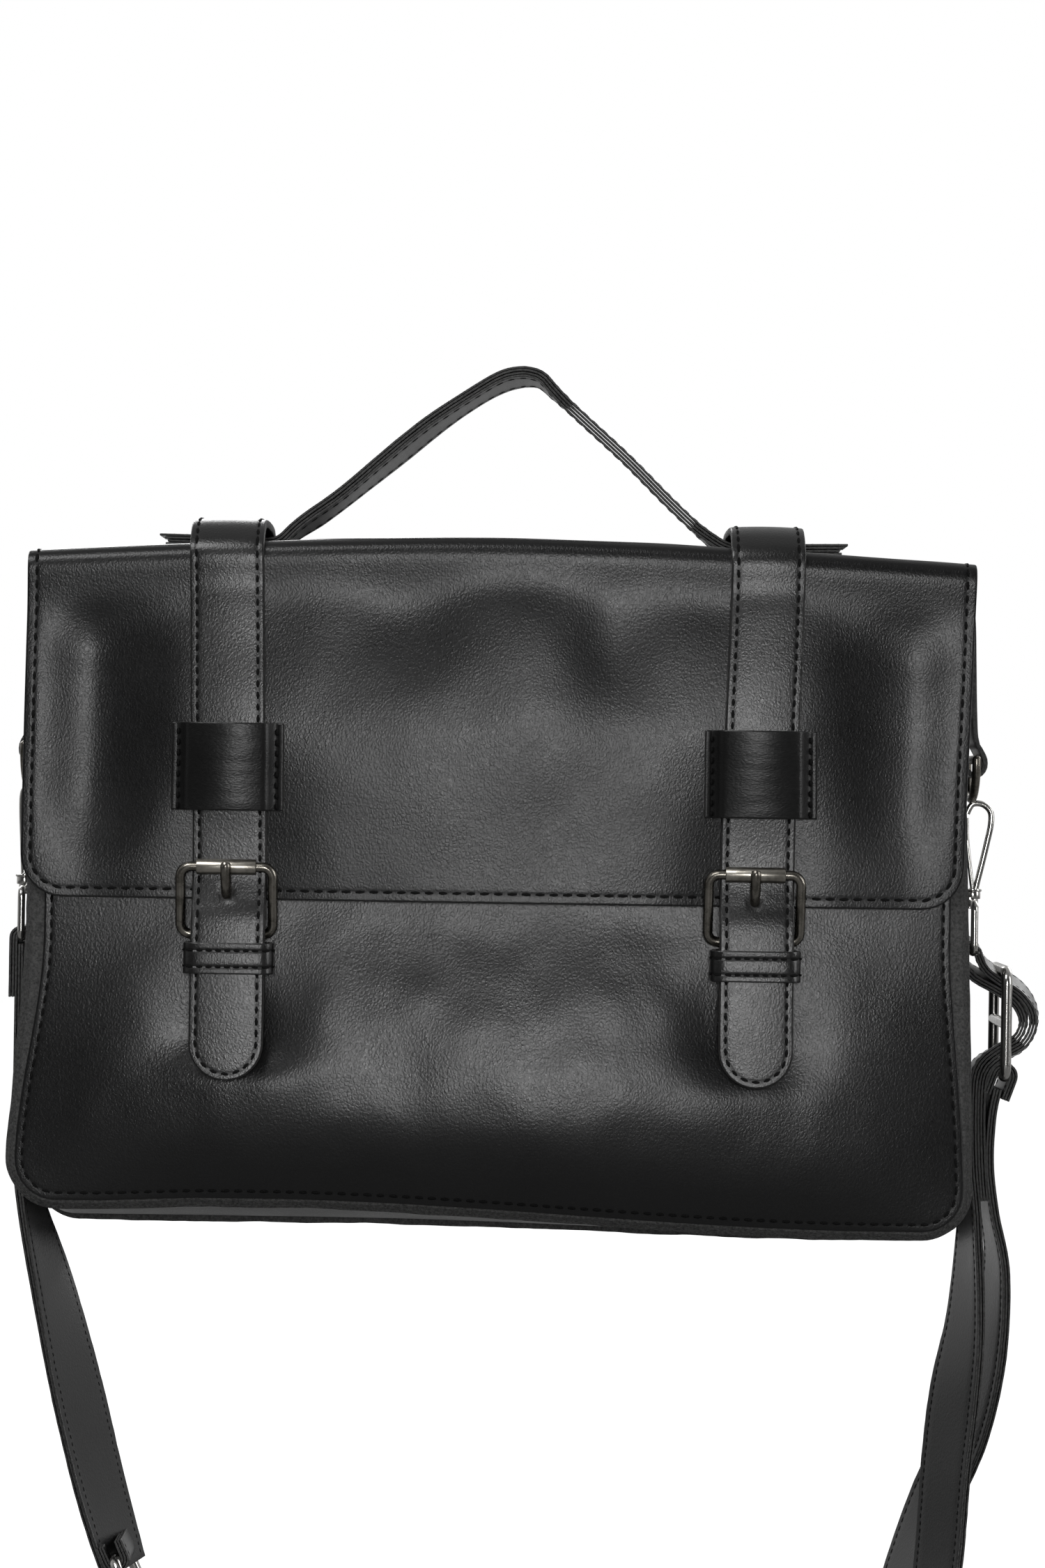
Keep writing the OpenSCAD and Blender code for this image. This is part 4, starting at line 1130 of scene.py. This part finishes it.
# the sling: plied strips joined by slides, hung from the hooks at the sides
sling = {"half": 14.6, "thick": 3.4, "trim": [0.0, -0.25, -0.05], "ply": 0.98, "step": 1.2, "rounding": 0.22,
         "insets": [0, 0.4, 1.9, 2.6, 3.3, 6, 9], "fray": (0.2, 5), "groove": 0.5, "stitch": (3.1, 2.3, 0.36),
         "sewn": {0: (12.0, 0.12, -0.88), 2: (12.0, 0.12, -0.1)}, "starts": 2, "stops": 2}
# each run's points are x, z, the turn of its width out of Y, and y where that is not 0
runs = {
    "run_left": [(-193.4, -232), (-193.4, -252), (-193.4, -285), (-193.4, -315), (-189.2, -338, 8),
                 (-180, -371, 22), (-169.6, -412, 32), (-160.5, -448, 32), (-153.5, -472, 29),
                 (-148.5, -487, 25)],
    "run_right": [(189.0, -228.5, 3), (189.3, -233.5, 5), (194, -238.4, 7), (203, -243, 8),
                  (211.5, -248.5, 9), (215.3, -257, 9), (212.5, -265, 9), (204.5, -269.4, 8),
                  (196.4, -275.8, 5), (193.8, -288, 2), (193.8, -315), (194.5, -338, -6), (193.5, -379, -19),
                  (189.5, -410, -31), (186.3, -441, -31), (183.5, -482, -29), (178, -515, -22),
                  (168, -545, -12), (150, -570, -4), (122, -588), (80, -600), (35, -605), (-10, -604),
                  (-55, -596), (-92, -579), (-118, -553), (-130.2, -527.5)],
    "run_return": [(203.3, -284.6), (201.2, -296), (200.5, -315), (202.5, -335, -2), (206, -359, -8, 1),
                   (203.5, -393, -18, 5), (197, -425, -25, 14), (188.5, -450, -27, 25),
                   (182.5, -466, -25, 32.5), (176.5, -482, -22, 33), (165.5, -512, -18, 28),
                   (150, -540, -10, 18), (130, -561, -4, 8), (106, -578, 0, 2), (76, -589.5), (35, -596),
                   (-10, -596), (-50, -588), (-84, -573), (-105, -555), (-115, -539)],
    # lies on the right run as a second layer, from over the eye and round the first bend
    "folded_end": [(189.0, -228.7, 3), (190.0, -226.3, 3), (192.4, -225.6, 4), (195.2, -228.2, 5),
                   (198.2, -234.6, 7), (205, -239.6, 8), (213.2, -244.6, 9), (218.6, -252, 9),
                   (219.2, -260.5, 9), (214.8, -268.2, 9), (206.3, -272.7, 8), (199.6, -277.8, 5),
                   (197.3, -288, 2), (197.2, -312), (197.6, -330, -4)],
}
runStands = {"run_left": ["sling_left"], "run_right": ["sling_right"], "run_return": ["sling_return"]}
# where the strip turns round a bar: the bar's place and half its wire, the legs' length and their lean
turns = {"turn_left_eye": (-192.5, -229.5, 1.5, 24, 0), "turn_upper_end": (205.6, -279.3, 2.2, 9, 20),
         "turn_lower_near": (-150.7, -480.5, 2.2, 7, 156), "turn_lower_far": (-133.3, -519.5, 2.2, 12, -24)}


def turnRun(x, z, bar, length, lean):
    r = bar + 0.1 + sling["thick"] / 2
    line = [(-r, -length), (-r, -length / 2), (-r, -1)]
    line += [(-r * math.cos(math.radians(a)), r * math.sin(math.radians(a))) for a in range(15, 180, 15)]
    line += [(r, -1), (r, -length / 2), (r, -length)]
    c, s = math.cos(math.radians(lean)), math.sin(math.radians(lean))
    return [(x + p * c + q * s, z - p * s + q * c) for p, q in line]


def makeRun(name, points, step):
    line = [(x, *(rest[1:] or [0]), z, *(rest[:1] or [0])) for x, z, *rest in points]
    route = makeRoute(line, None, step)
    shape, thread = layPlies(sling, route, [(0, route["length"])] * len(sling["trim"]), step)
    makePiece("sling_" + name, shape, "sling", [leather["slingLeather"], cutEdge],
              runStands.get(name, []))
    makePiece("sling_" + name + "_stitching", thread, "sling", [blackThread])


for name, points in runs.items():
    makeRun(name, points, 3)
for name, turn in turns.items():
    makeRun(name, turnRun(*turn), 0.8)
print("sling is hung")


# snap hooks: a bent wire on a turning barrel, closed by a sprung gate
hook = {"wire": 1.25, "gateWire": 0.95, "axis": 193.6,
        # the left one is nearly edge on, and reaches out less
        "reach": {"left": 0.2, "right": 1.0},
        # low, high and radius of the turned rings that it swivels in
        "barrel": [(-208.2, -205.0, 3.2), (-205.2, -204.2, 3.7), (-211.4, -208.4, 1.7),
                   (-212.2, -211.2, 2.6)],
        "body": [(194.4, -206.2), (195.4, -201.5), (197.2, -194), (199.0, -186), (200.6, -178.0),
                 (200.4, -172.6), (197.2, -169.6), (193.0, -169.6), (190.8, -173.4)],
        "gate": [(190.7, -175.2), (191.0, -184), (192.4, -196), (193.6, -204.6)]}


def makeHook(side):
    sign = -1 if side == "left" else 1
    reach, axis = hook["reach"][side], sign * hook["axis"]
    line = [(sign * (193.7 - 0.7 * reach + reach * (x - 193)), 0, z) for x, z in hook["body"]]
    shape = wireRun(smoothLine(line, 0.9), hook["wire"], False, 16)
    for low, high, r in hook["barrel"]:
        merge(shape, tube((axis, 0, low), (axis, 0, high), r, 0, 28, 0.3))
    makePiece("hook_wire_" + side, shape, "hook_" + side, [metal["brightNickel"]],
              ["snap_hook_" + side])
    line = [(sign * x, 0, z) for x, z in hook["gate"]]
    shape = wireRun(smoothLine(line, 0.9), hook["gateWire"], False, 14)
    merge(shape, tube((sign * 193.4, -3.9, -204.4), (sign * 193.4, 3.9, -204.4), 0.8, 0, 16, 0.2))
    makePiece("hook_spring_" + side, shape, "gate_" + side, [metal["brightNickel"]],
              ["hook_gate_" + side])


for side in ("left", "right"):
    makeHook(side)
print("hooks are closed on their rings")


# the metal parts and the board keep their own shapes and take a finish
kept = {name + side: metal["agedNickel"] for name in ("d_ring_", "magnet_stud_", "magnet_socket_")
        for side in ("left", "right")}
for name in ("swivel_eye_left", "swivel_eye_right", "slide_upper", "slide_lower"):
    kept[name] = metal["brightNickel"]
kept["base_board"] = greyBoard
for name, finish in kept.items():
    bpy.data.objects[name].material_slots[0].material = finish

print(pieceCount, "pieces are in place")
